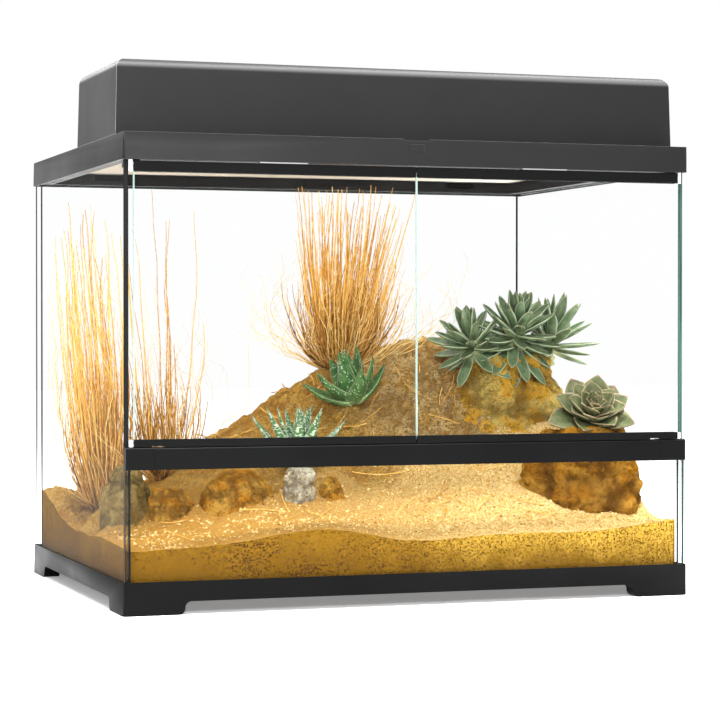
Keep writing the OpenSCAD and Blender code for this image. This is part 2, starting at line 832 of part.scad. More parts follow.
// Hole for a cable through the rear wall and the inner ring, with a slot and lips for its gate
module inlet() {
    x0 = inlet_x - inlet_w / 2;
    x1 = inlet_x + inlet_w / 2;
    slot_x0 = gate_open_x - gate_l / 2 - gate_fit;
    slot_x1 = x1 + gate_lap_x + gate_fit;
    grip_x0 = gate_open_x - grip_w / 2 - 1;
    block([x0, window_y - 1, inlet_z], [x1, half_d + 1, inlet_z + inlet_h]);
    block([x0, window_y - 1, inlet_z], [x1, window_y + ring_t + 1, seat_z + 1]);
    block([slot_x0, gate_y - gate_fit, gate_z - gate_h / 2 - gate_fit],
          [slot_x1, gate_y + gate_t + gate_fit, gate_z + gate_h / 2 + gate_fit]);
    block([grip_x0, gate_y, inlet_z], [x1, half_d + 1, inlet_z + inlet_h]);
}

module inlet_gate() {
    x = gate_open_x;
    color(black) {
        block([x - gate_l / 2, gate_y, gate_z - gate_h / 2], [x + gate_l / 2, gate_y + gate_t, gate_z + gate_h / 2]);
        block([x - grip_w / 2, gate_y + 1, gate_z - grip_h / 2], [x + grip_w / 2, half_d - 0.4, gate_z + grip_h / 2]);
    }
}

module left_inlet_gate() {
    mirror([1, 0, 0]) inlet_gate();
}

module right_inlet_gate() {
    inlet_gate();
}

module cover_button() {
    bw = button_w / 2;
    bh = button_h / 2;
    color(charcoal) difference() {
        union() {
            block([-bw, button_face, button_z - bh], [bw, button_back, button_z + bh]);
            block([-bw - flange_w, flange_y, button_z - bh - flange_w],
                  [bw + flange_w, flange_y + flange_t, button_z + bh + flange_w]);
        }
        along_button(button_bore_end, button_back + 1, button_bore_r);
    }
}

// Return spring, drawn at the length it has when the button is pressed home
module button_spring() {
    steps = spring_turns * 12;
    r = wire_r;
    color("silver") loft([for (i = [0:steps])
        let (a = 360 * spring_turns * i / steps, y = spring_seat - r - (spring_l - 2 * r) * i / steps)
            [for (k = [5:-1:0])
                let (b = 60 * k, d = coil_r + r * cos(b))
                    [d * sin(a), y + r * sin(b), button_z + d * cos(a)]]]);
}

// ---- Screen cover ----

module screen_frame() {
    color(charcoal) difference() {
        block([-cover_x, cover_front, seat_z], [cover_x, cover_back, plate_top + lip_h]);
        block([-cover_x + lip_t, cover_front + lip_t, plate_top],
              [cover_x - lip_t, cover_back - lip_t, plate_top + lip_h + 1]);
        block([-cover_x + plate_w_side, cover_front + plate_w_end, seat_z - 1],
              [cover_x - plate_w_side, cover_back - plate_w_end, plate_top + 1]);
        block([-mesh_x - 0.1, mesh_front - 0.1, seat_z - 1], [mesh_x + 0.1, mesh_back + 0.1, seat_z + mesh_t + 0.4]);
        block([-housing_x - cover_notch_gap, cover_front - 1, seat_z - 1],
              [housing_x + cover_notch_gap, -window_y - ring_t + 1, plate_top + lip_h + 1]);
    }
}

module screen_mesh() {
    pitch_x = (2 * mesh_x - mesh_bar) / mesh_nx;
    pitch_y = (mesh_back - mesh_front - mesh_bar) / mesh_ny;
    color(black) translate([-mesh_x, mesh_front, seat_z + 0.3]) linear_extrude(mesh_t) {
        for (i = [0:mesh_nx]) translate([i * pitch_x, 0]) square([mesh_bar, mesh_back - mesh_front]);
        for (j = [0:mesh_ny]) translate([0, j * pitch_y]) square([2 * mesh_x, mesh_bar]);
    }
}

// ---- Hood ----

// Solid form of the hood, smaller all round by inset
module hood_form(inset) {
    h = hood_h - inset;
    r = hood_edge_r - inset;
    intersection() {
        along_y(-hood_d, hood_d) hood_profile(hood_x - inset, h, hood_lean_side * h / hood_h, r);
        along_x(-hood_x - 1, hood_x + 1) hood_profile(hood_d / 2 - inset, h, hood_lean_end * h / hood_h, r);
    }
}

module hood_shell() {
    color(charcoal) difference() {
        union() {
            translate([0, hood_y, hood_z]) difference() {
                hood_form(0);
                translate([0, 0, -0.01]) hood_form(hood_t);
                block([-hood_x + hood_t, -hood_d / 2 + hood_t, -1], [hood_x - hood_t, hood_d / 2 - hood_t, 0.2]);
            }
            screw_places() cylinder(h = hood_h - reflector_z - hood_t + 0.5, r = boss_r);
        }
        screw_places() translate([0, 0, -1]) cylinder(h = screw_grip + 1.5, r = screw_r + screw_fit);
        vents();
        block([switch_x - switch_w / 2 - 0.1, rear_fit_y - 8, rear_z - switch_h / 2 - 0.1],
              [switch_x + switch_w / 2 + 0.1, rear_fit_y + 2, rear_z + switch_h / 2 + 0.1]);
        translate([gland_x, rear_fit_y + 2, rear_z]) rotate([90, 0, 0]) cylinder(h = 10, r = neck_r + 0.1);
    }
}

// Pads on the inside of the hood's side walls that reach down to the cover's plate
module hood_pads() {
    wall_x = hood_x - hood_t - hood_lean_side * pad_h / hood_h - pad_fit;
    color("#1a1a1a") both_sides() for (s = [-1, 1]) {
        y = hood_y + s * (hood_d / 2 - pad_end - pad_l / 2);
        block([pad_x - pad_w, y - pad_l / 2, plate_top], [pad_x, y + pad_l / 2, hood_z + pad_h]);
        block([pad_x - pad_w, y - pad_l / 2, hood_z + 1], [wall_x, y + pad_l / 2, hood_z + pad_h]);
    }
}

// Where the reflector's screws go up into the hood's bosses
module screw_places() {
    for (sx = [-1, 1], sy = [-1, 1])
        translate([sx * screw_x, hood_y + sy * screw_y, hood_z + reflector_z]) children();
}

module vents() {
    for (i = [0:vent_cols - 1], j = [0:vent_rows - 1]) {
        x = (i - (vent_cols - 1) / 2) * vent_pitch_x;
        z = hood_z + vent_z + j * vent_pitch_z;
        block([x - vent_w / 2, hood_back - hood_t - hood_lean_end - 1, z - vent_h / 2],
              [x + vent_w / 2, hood_back + 1, z + vent_h / 2]);
    }
}

module reflector() {
    t = reflector_t;
    top_x = half_w - reflector_side;
    low_x = top_x + reflector_spread - t;
    z = hood_z + reflector_z;
    low = z - reflector_side_h;
    front = hood_y - hood_d / 2 + hood_t + 5;
    color("#d8dadc") difference() {
        along_y(front, lamp_y - 2) polygon([
            [-top_x, z], [top_x, z], [low_x + t, low], [low_x, low], [top_x - t, z - t],
            [-top_x + t, z - t], [-low_x, low], [-low_x - t, low],
        ]);
        screw_places() translate([0, 0, -t - 1]) cylinder(h = t + 2, r = screw_r + screw_fit);
    }
}

module reflector_screws() {
    color("silver") screw_places() {
        translate([0, 0, -reflector_t - screw_head_t]) cylinder(h = screw_head_t, r = screw_head_r);
        translate([0, 0, -reflector_t - 0.5]) cylinder(h = screw_grip + reflector_t, r = screw_r);
    }
}

// Where the lamps stand, with +Z turned to point forwards, away from the rear wall
module lamp_places() {
    for (i = [0:lamp_count - 1])
        translate([(i - (lamp_count - 1) / 2) * lamp_pitch, holder_y, hood_z + lamp_z])
            rotate([90, 0, 0]) children();
}

module lamp_holders() {
    color("#e8e6df") lamp_places() difference() {
        union() {
            cylinder(h = holder_foot_t, r = holder_foot_r);
            cylinder(h = holder_foot_t + holder_l, r = holder_r);
        }
        translate([0, 0, holder_foot_t + holder_l - lamp_cap_l - 1])
            cylinder(h = lamp_cap_l + 2, r = lamp_cap_r + lamp_cap_fit);
    }
}

module lamps() {
    mouth = holder_foot_t + holder_l;
    r = lamp_bulb_r;
    color("white") lamp_places() {
        translate([0, 0, mouth - lamp_cap_l - 0.7]) cylinder(h = lamp_cap_l + 8, r = lamp_cap_r);
        translate([0, 0, mouth + 4]) cylinder(h = 26, r1 = lamp_cap_r + 3, r2 = lamp_collar_r);
        translate([0, 0, mouth + 30]) cylinder(h = lamp_l - 30 - r, r = r);
        translate([0, 0, mouth + lamp_l - r]) sphere(r);
    }
}

module switch_body() {
    w = switch_w / 2;
    h = switch_h / 2;
    color(black) difference() {
        union() {
            block([switch_x - w, rear_fit_y - switch_deep, rear_z - h], [switch_x + w, rear_fit_y + 1, rear_z + h]);
            block([switch_x - w - switch_rim, rear_fit_y + 0.2, rear_z - h - switch_rim],
                  [switch_x + w + switch_rim, rear_fit_y + 0.2 + switch_rim_t, rear_z + h + switch_rim]);
        }
        block([switch_x - w + switch_wall, rear_fit_y - switch_deep + switch_wall, rear_z - h + switch_wall],
              [switch_x + w - switch_wall, rear_fit_y + 5, rear_z + h - switch_wall]);
        rocker_pins(rocker_pin_r + pin_fit, w - switch_wall + 1.6);
    }
}

module rocker_pins(r, reach) {
    translate([switch_x - reach, pivot_y, rear_z]) rotate([0, 90, 0]) cylinder(h = 2 * reach, r = r);
}

// Rocker of the switch: a drum with two faces that meet in a shallow V, tilted to one side
module switch_rocker() {
    w = switch_w / 2 - switch_wall - rocker_fit;
    h = rocker_r - 0.4;
    color("#1a1a1a") {
        translate([switch_x, pivot_y, rear_z]) rotate([-rocker_tilt, 0, 0]) along_x(-w, w) {
            circle(rocker_r);
            polygon([[-1, -h], [3.4, -h], [2.8, 0], [3.4, h], [-1, h]]);
        }
        rocker_pins(rocker_pin_r, switch_w / 2 - switch_wall + 1.4);
    }
}

// Gland for the mains lead, on the hood's rear wall
module cable_gland() {
    back = -hood_t - 0.4;
    color("#1a1a1a") translate([gland_x, rear_fit_y, rear_z]) rotate([-90, 0, 0]) rotate_extrude() polygon([
        [cable_r, back - gland_nut_t], [gland_nut_r, back - gland_nut_t], [gland_nut_r, back],
        [neck_r, back], [neck_r, 0.3], [gland_flange_r, 0.3], [gland_flange_r, gland_flange_t],
        [neck_r, gland_flange_t], [neck_r - 1, gland_flange_t + gland_tail_l],
        [cable_r, gland_flange_t + gland_tail_l],
    ]);
}

// ---- Sand bed ----

// The landscape is drawn from the tank's middle, from the front pane's inner face and from the floor
// glass up, for the room below, and stretched to the room that the tank has
drawn_room = [595.2, 442, 424];

module in_room() {
    translate([0, in_front, floor_z])
        scale([2 * in_x / drawn_room[0], (in_back - in_front) / drawn_room[1], (ledge_z - floor_z) / drawn_room[2]])
            children();
}

// Heights of the bed: rows from front to back, columns from left to right
bed_rows = [
    [38, 43, 55, 41, 45, 45, 55],
    [41, 53, 67, 70, 80, 75, 60],
    [41, 75, 105, 125, 140, 125, 125],
    [39, 100, 150, 185, 212, 203, 150],
    [43, 95, 160, 217, 248, 238, 160],
    [55, 80, 135, 175, 195, 190, 145],
    [70, 70, 85, 105, 125, 115, 95],
];
last = len(bed_rows) - 1;

function limit(v, lo, hi) = min(max(v, lo), hi);
function curve(a, b, c, d, t) =
    (2 * b + (c - a) * t + (2 * a - 5 * b + 4 * c - d) * t ^ 2 + (3 * b - a - 3 * c + d) * t ^ 3) / 2;
function along_row(j, u) =
    let (row = bed_rows[limit(j, 0, last)], i = min(floor(u), last - 1))
        curve(row[max(i - 1, 0)], row[i], row[i + 1], row[min(i + 2, last)], u - i);

// Height of the sand at a place
function ground(x, y) =
    let (u = limit(x / drawn_room[0] + 0.5, 0, 1) * last,
         v = limit(y / drawn_room[1], 0, 1) * last,
         j = min(floor(v), last - 1))
        curve(along_row(j - 1, u), along_row(j, u), along_row(j + 1, u), along_row(j + 2, u), v - j)
        + ripple * sin(11 * x) * sin(9 * y + 4 * x);

module sand_form() {
    x_edge = drawn_room[0] / 2 - bed_fit;
    y_front = bed_fit;
    y_back = drawn_room[1] - bed_fit;
    bevel = bead_leg + 1;
    w = bed_nx + 1;
    // the first and last rows are shorter, to pass the beads in the corners
    tops = [for (j = [0:bed_ny], i = [0:bed_nx])
        let (y = y_front + (y_back - y_front) * j / bed_ny,
             reach = (j == 0 || j == bed_ny) ? x_edge - bevel : x_edge,
             x = reach * (2 * i / bed_nx - 1))
            [x, y, ground(x, y)]];
    rim = concat([for (i = [0:bed_nx - 1]) i], [for (j = [0:bed_ny - 1]) j * w + bed_nx],
                 [for (i = [bed_nx:-1:1]) bed_ny * w + i], [for (j = [bed_ny:-1:1]) j * w]);
    count = len(rim);
    under = len(tops);
    foot = [for (k = rim) [tops[k][0], tops[k][1], 0]];
    points = concat(tops, foot, [[0, drawn_room[1] / 2, 0]]);
    skin = [for (j = [0:bed_ny - 1], i = [0:bed_nx - 1])
        let (a = j * w + i)
            each [[a, a + w, a + w + 1], [a, a + w + 1, a + 1]]];
    wall = [for (k = [0:count - 1])
        let (n = (k + 1) % count, f = under + k)
            each [[f, rim[k], rim[n]], [f, rim[n], under + n], [under + count, f, under + n]]];
    polyhedron(points, concat(skin, wall));
}

module substrate() {
    color(sand_colour) in_room() difference() {
        sand_form();
        for (r = [left_stone_size, slab_stone_size, brown_boulder_size, pale_stone_size, dark_stone_size,
                  right_rock_size, upper_rock_size]) rock(r, seat_gap);
        for (p = [left_grass_at, middle_grass_at, centre_grass_at, banded_at, green_at]) root_plug(p, seat_gap);
    }
}

// ---- Rocks ----

round_girth = [[0, 0.9], [0.3, 1], [0.55, 0.95], [0.8, 0.72], [1, 0.35]];
slab_girth = [[0, 0.92], [0.4, 1], [0.85, 0.86], [1, 0.68]];
cliff_girth = [[0, 0.96], [0.35, 1], [0.7, 0.86], [1, 0.62]];

// Each rock: the middle of its foot, its width, depth and height, how far its top is moved over, its
// girth at each height from foot to top, and the seed of its bumps
left_stone_size = [[-264, 162, 25], [62, 66, 88], [4, 8], round_girth, 3];
slab_stone_size = [[-221, 128, 38], [48, 44, 52], [-4, 4], slab_girth, 11];
brown_boulder_size = [[-154, 116, 50], [84, 56, 58], [2, 4], round_girth, 24];
pale_stone_size = [[-91, 99, 57], [37, 34, 54], [0, 3], slab_girth, 31];
dark_stone_size = [[-57, 96, 59], [27, 28, 42], [0, 2], round_girth, 45];
right_rock_size = [[222, 101, 22], [142, 116, 125], [5, -22], cliff_girth, 52];
upper_rock_size = [[183, 197, 110], [146, 68, 110], [6, 10], cliff_girth, 67];

// Rock in layers
module rock(form, gap) {
    at = form[0];
    size = form[1];
    shift = form[2];
    bumps = rands(0.88, 1.08, rock_sides, form[4]);
    rings = [for (k = [0:rock_layers])
        let (t = k / rock_layers,
             g = lookup(t, form[3]),
             fine = rands(0.97, 1.03, rock_sides, form[4] + 7 * k),
             z = at[2] - gap + (size[2] + 2 * gap) * t)
            [for (j = [0:rock_sides - 1])
                let (a = 360 * j / rock_sides + 4 * k, b = g * bumps[j] * fine[j])
                    [at[0] + shift[0] * t + (size[0] / 2 * b + gap) * cos(a),
                     at[1] + shift[1] * t + (size[1] / 2 * b + gap) * sin(a), z]]];
    for (k = [0:rock_layers - 1]) hull() loft([rings[k], rings[k + 1]]);
}

module left_stone() {
    color("#6f6a52") in_room() rock(left_stone_size, 0);
}

module slab_stone() {
    color(stone_colour) in_room() rock(slab_stone_size, 0);
}

module brown_boulder() {
    color("#5d4128") in_room() rock(brown_boulder_size, 0);
}

module pale_stone() {
    color("#c9b184") in_room() rock(pale_stone_size, 0);
}

module dark_stone() {
    color("#4a3423") in_room() rock(dark_stone_size, 0);
}

module right_rock() {
    color("#a8763a") in_room() rock(right_rock_size, 0);
}

module upper_rock() {
    color("#94662f") in_room() rock(upper_rock_size, 0);
}

// ---- Plants ----

// Places of the plants' feet and the radius of each root plug
left_grass_at = [-252, 308, 15];
middle_grass_at = [-205, 240, 13];
centre_grass_at = [15, 290, 20];
banded_at = [-84, 136, 9];
green_at = [4, 203, 9];

// Places of the plants that stand on the two big rocks
agave_at = [195, 206];
pup_at = [224, 216];
echeveria_at = [230, 76];

// Plug of roots in the sand, with ten sides; with a gap it is the hole for the plug, open above
module root_plug(at, gap) {
    levels = gap > 0 ? [[0.7, -root_depth], [1, 1], [1, 40]] : [[0.7, -root_depth], [1, 1]];
    translate([at[0], at[1], ground(at[0], at[1]) - gap]) loft([for (level = levels)
        [for (j = [0:9])
            let (r = at[2] * level[0] + gap)
                [r * cos(36 * j), r * sin(36 * j), level[1]]]]);
}

// Half-buried crown over a root plug, in eight wedges, half as wide at its top as at its foot
module crown(r, h) {
    for (k = [0:7]) hull() for (a = [45 * k, 45 * k + 45]) {
        translate([r * cos(a), r * sin(a), -1]) cube(0.5, center = true);
        translate([r / 2 * cos(a), r / 2 * sin(a), h]) cube(0.5, center = true);
        translate([0, 0, -1]) cube([0.5, 0.5, 1]);
        translate([0, 0, h - 1]) cube([0.5, 0.5, 1]);
    }
}

// Curved stalk of three sides: foot, tip, how far its middle bows out, and its two radii
module stalk(foot, tip, bow, r0, r1, steps) {
    loft([for (i = [0:steps])
        let (t = i / steps,
             p = foot + (tip - foot) * t + bow * 4 * t * (1 - t),
             r = r0 + (r1 - r0) * t)
            [for (k = [0:2]) p + [r * cos(120 * k + 20 * i), r * sin(120 * k + 20 * i), 0]]]);
}

// Tuft of dry grass: count stalks that spread from a crown, the shortest low and the tallest up to top
module tuft(at, count, low, top, spread, lean, crown_h, seed) {
    pick = rands(0, 1, count * 5, seed);
    z = ground(at[0], at[1]);
    color(straw_colour) in_room() {
        root_plug(at, 0);
        translate([at[0], at[1], z]) {
            crown(at[2] - 2, crown_h);
            for (i = [0:count - 1]) {
                a = 360 * pick[5 * i];
                out = pick[5 * i + 1];
                tall = low + (top - z - low) * pick[5 * i + 2];
                foot = [at[2] / 2 * out * cos(a), at[2] / 2 * out * sin(a), 0];
                tip = [spread[0] * out * cos(a) + lean[0], spread[1] * out * sin(a) + lean[1], tall];
                bow = [lean[0] * -0.12, lean[1] * -0.12, 6 + 10 * pick[5 * i + 3]];
                stalk(foot, tip, bow, 1.1 + 0.5 * pick[5 * i + 4], 0.35, 4);
            }
        }
    }
}

module left_grass() {
    tuft(left_grass_at, left_stalks, 150, 398, [34, 58], [-4, 44], 8, 12);
}

module middle_grass() {
    tuft(middle_grass_at, middle_stalks, 110, 408, [50, 44], [-6, 30], 8, 8);
}

module centre_grass() {
    tuft(centre_grass_at, centre_stalks, 110, 408, [96, 60], [34, 0], 40, 27);
}

// Leaf with a flat-diamond section, rising from the middle of a rosette: length, width, thickness,
// angle at its foot and at its tip above level, and where along it it is widest
module leaf(len, width, thick, rise0, rise1, widest, steps) {
    // the leaf bends evenly, so its middle line is an arc
    function at(t) =
        let (turn = rise1 - rise0)
            abs(turn) < 1 ? [len * t * cos(rise0), len * t * sin(rise0)]
            : let (r = len * 180 / (PI * turn), a = rise0 + turn * t)
                [r * (sin(a) - sin(rise0)), r * (cos(rise0) - cos(a))];
    loft([for (i = [0:steps])
        let (t = i / steps,
             p = at(t),
             a = rise0 + (rise1 - rise0) * t,
             past = max(0, t - widest) / (1 - widest),
             w = width / 2 * (t < widest ? 0.55 + 0.45 * t / widest : sqrt(max(1 - past ^ 2, 0.004))),
             h = thick / 2 * (1.05 - 0.9 * t))
            [[p[0], -w, p[1]], [p[0] + h * sin(a), 0, p[1] - h * cos(a)], [p[0], w, p[1]],
             [p[0] - h * 0.5 * sin(a), 0, p[1] + h * 0.5 * cos(a)]]]);
}

// Rosette of leaves in a golden-angle spiral, from the outer ones to the inner ones
module rosette(count, len0, len1, width, thick, rise_out, rise_in, curl, widest, start) {
    for (i = [0:count - 1]) {
        t = i / (count - 1);
        rise = rise_out + (rise_in - rise_out) * t;
        rotate([0, 0, i * 137.5]) translate([start * (1 - t * 0.7), 0, 2 + 5 * t])
            leaf(len0 + (len1 - len0) * t, width * (1 - 0.45 * t), thick, rise, rise + curl, widest, 4);
    }
}

module banded_aloe() {
    color("#7d8f6b") in_room() {
        root_plug(banded_at, 0);
        translate([banded_at[0], banded_at[1], ground(banded_at[0], banded_at[1])]) {
            crown(banded_at[2] - 2, 12);
            rosette(banded_leaves, 70, 62, 15, 5, 48, 84, 14, 0.2, 2);
        }
    }
}

module green_aloe() {
    color("#47573a") in_room() {
        root_plug(green_at, 0);
        translate([green_at[0], green_at[1], ground(green_at[0], green_at[1])]) {
            crown(green_at[2] - 2, 10);
            rosette(green_leaves, 44, 52, 9, 4, 40, 84, 22, 0.2, 2);
        }
    }
}

// Height of a plant's crown that stands on a rock
function rock_top(form) = form[0][2] + form[1][2] + seat_gap + 1;

// Two agaves on the upper rock: a full rosette and a smaller one behind it
module agave_cluster() {
    color("#93a083") in_room() {
        translate([agave_at[0], agave_at[1], rock_top(upper_rock_size)]) {
            crown(14, 36);
            translate([0, 0, 23]) rosette(agave_leaves, 92, 62, 13, 5, 4, 82, 8, 0.3, 4);
        }
        translate([pup_at[0], pup_at[1], rock_top(upper_rock_size)]) {
            crown(9, 22);
            translate([0, 0, 13]) rosette(pup_leaves, 62, 48, 11, 4, 22, 82, 8, 0.3, 3);
        }
    }
}

module echeveria() {
    color("#8d9a80") in_room() translate([echeveria_at[0], echeveria_at[1], rock_top(right_rock_size)]) {
        crown(13, 26);
        translate([0, 0, 11]) rosette(echeveria_leaves, 50, 46, 25, 6, 14, 80, 26, 0.6, 5);
    }
}

base_frame();
floor_glass();
left_glass();
right_glass();
back_glass();
front_glass();
front_corner_beads();
back_corner_beads();
front_sill();
left_sill_cap();
right_sill_cap();
top_frame();
keeper_plates();
button_spring();
cover_button();
left_inlet_gate();
right_inlet_gate();
left_door_glass();
left_top_rail();
left_bottom_rail();
left_upper_pivot();
left_lower_pivot();
left_magnet();
door_glass();  // right_door_glass
top_rail();  // right_top_rail
bottom_rail();  // right_bottom_rail
upper_pivot();  // right_upper_pivot
lower_pivot();  // right_lower_pivot
magnet();  // right_magnet
screen_frame();
screen_mesh();
hood_shell();
hood_pads();
reflector();
reflector_screws();
lamp_holders();
lamps();
switch_body();
switch_rocker();
cable_gland();
substrate();
left_stone();
slab_stone();
brown_boulder();
pale_stone();
dark_stone();
right_rock();
upper_rock();
left_grass();
middle_grass();
centre_grass();
banded_aloe();
green_aloe();
agave_cluster();
echeveria();
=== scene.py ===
# Glass reptile terrarium with a sand landscape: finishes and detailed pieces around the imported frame
import json
import math

import bmesh
import bpy
import numpy as np
from mathutils import Matrix, Vector

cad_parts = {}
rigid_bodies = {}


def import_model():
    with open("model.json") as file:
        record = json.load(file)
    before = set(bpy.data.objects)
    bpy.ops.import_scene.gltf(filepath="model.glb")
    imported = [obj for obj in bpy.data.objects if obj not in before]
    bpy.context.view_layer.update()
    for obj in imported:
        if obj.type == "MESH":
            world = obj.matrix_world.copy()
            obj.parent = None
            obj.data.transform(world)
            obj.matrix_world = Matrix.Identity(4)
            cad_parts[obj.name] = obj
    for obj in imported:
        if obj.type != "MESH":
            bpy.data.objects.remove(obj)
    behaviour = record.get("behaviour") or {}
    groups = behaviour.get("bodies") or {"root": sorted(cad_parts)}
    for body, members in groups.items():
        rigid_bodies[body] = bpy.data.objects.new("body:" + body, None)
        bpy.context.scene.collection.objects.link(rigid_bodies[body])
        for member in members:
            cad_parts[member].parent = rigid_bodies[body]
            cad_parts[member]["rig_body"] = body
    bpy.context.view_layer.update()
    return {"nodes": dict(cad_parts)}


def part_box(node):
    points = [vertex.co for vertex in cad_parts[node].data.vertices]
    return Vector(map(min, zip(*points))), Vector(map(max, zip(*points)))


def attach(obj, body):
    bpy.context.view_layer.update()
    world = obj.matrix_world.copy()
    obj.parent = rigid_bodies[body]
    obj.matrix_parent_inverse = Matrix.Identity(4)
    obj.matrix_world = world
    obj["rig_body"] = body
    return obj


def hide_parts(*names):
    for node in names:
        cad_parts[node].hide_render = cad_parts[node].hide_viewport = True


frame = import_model()
nodes = frame["nodes"]
mm = 0.001


def openSocket(sockets, key):
    # a socket by name, or by its place among the ones in use
    used = [s for s in sockets if s.enabled]
    return used[key] if isinstance(key, int) else next(s for s in used if s.name == key)


class Graph:
    # one node tree, with short calls that add a node and give back one of its outputs

    def __init__(self, tree):
        self.tree = tree

    def withEnds(self):
        self.given = self.tree.nodes.new("NodeGroupInput").outputs
        self.result = self.tree.nodes.new("NodeGroupOutput").inputs
        return self

    def feed(self, socket, value):
        if isinstance(value, bpy.types.NodeSocket):
            self.tree.links.new(value, socket)
        elif socket.type == "RGBA":
            socket.default_value = (*value, 1.0)
        else:
            socket.default_value = value

    def node(self, kind, inputs=None, **settings):
        node = self.tree.nodes.new(kind)
        for name, value in settings.items():
            setattr(node, name, value)
        for key, value in (inputs or {}).items():
            self.feed(openSocket(node.inputs, key), value)
        return node

    def add(self, kind, inputs=None, key=0, **settings):
        return openSocket(self.node(kind, inputs, **settings).outputs, key)

    def calc(self, operation, *values):
        return self.add("ShaderNodeMath", dict(enumerate(values)), operation=operation)

    def plus(self, a, b):
        return self.calc("ADD", a, b)

    def minus(self, a, b):
        return self.calc("SUBTRACT", a, b)

    def times(self, a, b):
        return self.calc("MULTIPLY", a, b)

    def vector(self, operation, *values):
        return self.add("ShaderNodeVectorMath", dict(enumerate(values)), operation=operation)

    def scaled(self, vector, factor):
        return self.add("ShaderNodeVectorMath", {0: vector, "Scale": factor}, operation="SCALE")

    def joined(self, x=0.0, y=0.0, z=0.0):
        return self.add("ShaderNodeCombineXYZ", {0: x, 1: y, 2: z})

    def part(self, vector, axis):
        return self.add("ShaderNodeSeparateXYZ", {0: vector}, axis)

    def noise(self, vector, key=0, **values):
        return self.add("ShaderNodeTexNoise", {"Vector": vector, **values}, key)

    def ramp(self, value, low, high):
        # 0 below low, 1 above high, smooth between
        return self.add("ShaderNodeMapRange", {0: value, 1: low, 2: high}, interpolation_type="SMOOTHSTEP")

    def between(self, value, start, end, low=0.0, high=1.0):
        # from start to end as the value goes from low to high
        return self.add("ShaderNodeMapRange", {0: value, 1: low, 2: high, 3: start, 4: end})

    def mix(self, factor, a, b):
        node = self.tree.nodes.new("ShaderNodeMix")
        node.data_type = "RGBA"
        for place, value in ((0, factor), (6, a), (7, b)):
            self.feed(node.inputs[place], value)
        return node.outputs[2]

    def paint(self, shown, *coats):
        # each coat is where it lies, how strongly it covers and its colour
        for where, strength, tint in coats:
            shown = self.mix(self.times(where, strength), shown, tint)
        return shown

    def group(self, kind, vector, **values):
        node = self.tree.nodes.new("ShaderNodeGroup")
        node.node_tree = kind
        self.feed(node.inputs["Vector"], vector)
        for name, value in values.items():
            node.inputs[name].default_value = value
        return node.outputs

    def attribute(self, name):
        return self.add("ShaderNodeAttribute", key="Fac", attribute_name=name)

    def set(self, **values):
        for name, value in values.items():
            self.feed(self.shader.inputs[name.replace("_", " ")], value)

    def bump(self, height, distance, strength=1.0):
        values = {"Height": height, "Distance": distance, "Strength": strength}
        self.set(Normal=self.add("ShaderNodeBump", values))

    def random(self, low, high, seed):
        number = self.plus(self.given["Seed"], float(seed))
        return self.add("FunctionNodeRandomValue", {"Min": low, "Max": high, "Seed": number}, data_type="FLOAT")

    def store(self, geometry, name, value, kind="FLOAT", domain="INSTANCE"):
        return self.add("GeometryNodeStoreNamedAttribute", {"Geometry": geometry, "Name": name, "Value": value},
                        data_type=kind, domain=domain)

    def stored(self, name, kind="FLOAT"):
        return self.add("GeometryNodeInputNamedAttribute", {"Name": name}, data_type=kind)

    def tube(self, curve, sides, radius):
        profile = self.add("GeometryNodeCurvePrimitiveCircle", {"Resolution": sides, "Radius": 1.0})
        return self.add("GeometryNodeCurveToMesh", {
            "Curve": curve, "Profile Curve": profile, "Scale": radius, "Fill Caps": True})

    def close(self, geometry):
        solid = self.add("GeometryNodeRealizeInstances", {"Geometry": geometry})
        finished = self.add("GeometryNodeSetMaterial", {"Geometry": solid, "Material": self.given["Finish"]})
        self.feed(self.result[0], finished)
        return self.tree


# shader groups shared by several finishes

def newGroup(name, inputs, outputs):
    tree = bpy.data.node_groups.new(name, "ShaderNodeTree")
    tree.interface.new_socket("Vector", in_out="INPUT", socket_type="NodeSocketVector")
    for label, value in inputs.items():
        tree.interface.new_socket(label, in_out="INPUT", socket_type="NodeSocketFloat").default_value = value
    for label in outputs:
        tree.interface.new_socket(label, in_out="OUTPUT", socket_type="NodeSocketFloat")
    return Graph(tree).withEnds()


def buildGrain():
    # fine moulded grain: how pale it is and how high it stands
    g = newGroup("mouldedGrain", {"Scale": 900.0}, ["Shade", "Height"])
    place = g.given["Vector"]
    broad = g.noise(place, Scale=9.0, Detail=4.0)
    g.feed(g.result["Shade"], g.ramp(broad, 0.3, 0.75))
    g.feed(g.result["Height"], g.noise(place, Scale=g.given["Scale"], Detail=3.0, Roughness=0.6))
    return g.tree


def buildMottle():
    # soft patches between two limits
    g = newGroup("mottle", {"Scale": 40.0, "Low": 0.4, "High": 0.6}, ["Mask"])
    cloud = g.noise(g.given["Vector"], Scale=g.given["Scale"], Detail=6.0, Roughness=0.62, Distortion=0.4)
    g.feed(g.result["Mask"], g.ramp(cloud, g.given["Low"], g.given["High"]))
    return g.tree


def buildSpecks():
    # small separate specks: each cell has one, and Amount says how many cells show it
    g = newGroup("specks", {"Scale": 300.0, "Amount": 0.2, "Size": 0.35}, ["Mask"])
    place, scale = g.given["Vector"], g.given["Scale"]
    bend = g.scaled(g.noise(place, "Color", Scale=scale), 0.0016)
    cells = g.node("ShaderNodeTexVoronoi", {"Vector": g.vector("ADD", place, bend), "Scale": scale}).outputs
    pick = g.add("ShaderNodeSeparateColor", {0: cells["Color"]})
    shown = g.calc("LESS_THAN", pick, g.given["Amount"])
    near = g.calc("LESS_THAN", cells["Distance"], g.given["Size"])
    g.feed(g.result["Mask"], g.times(shown, near))
    return g.tree


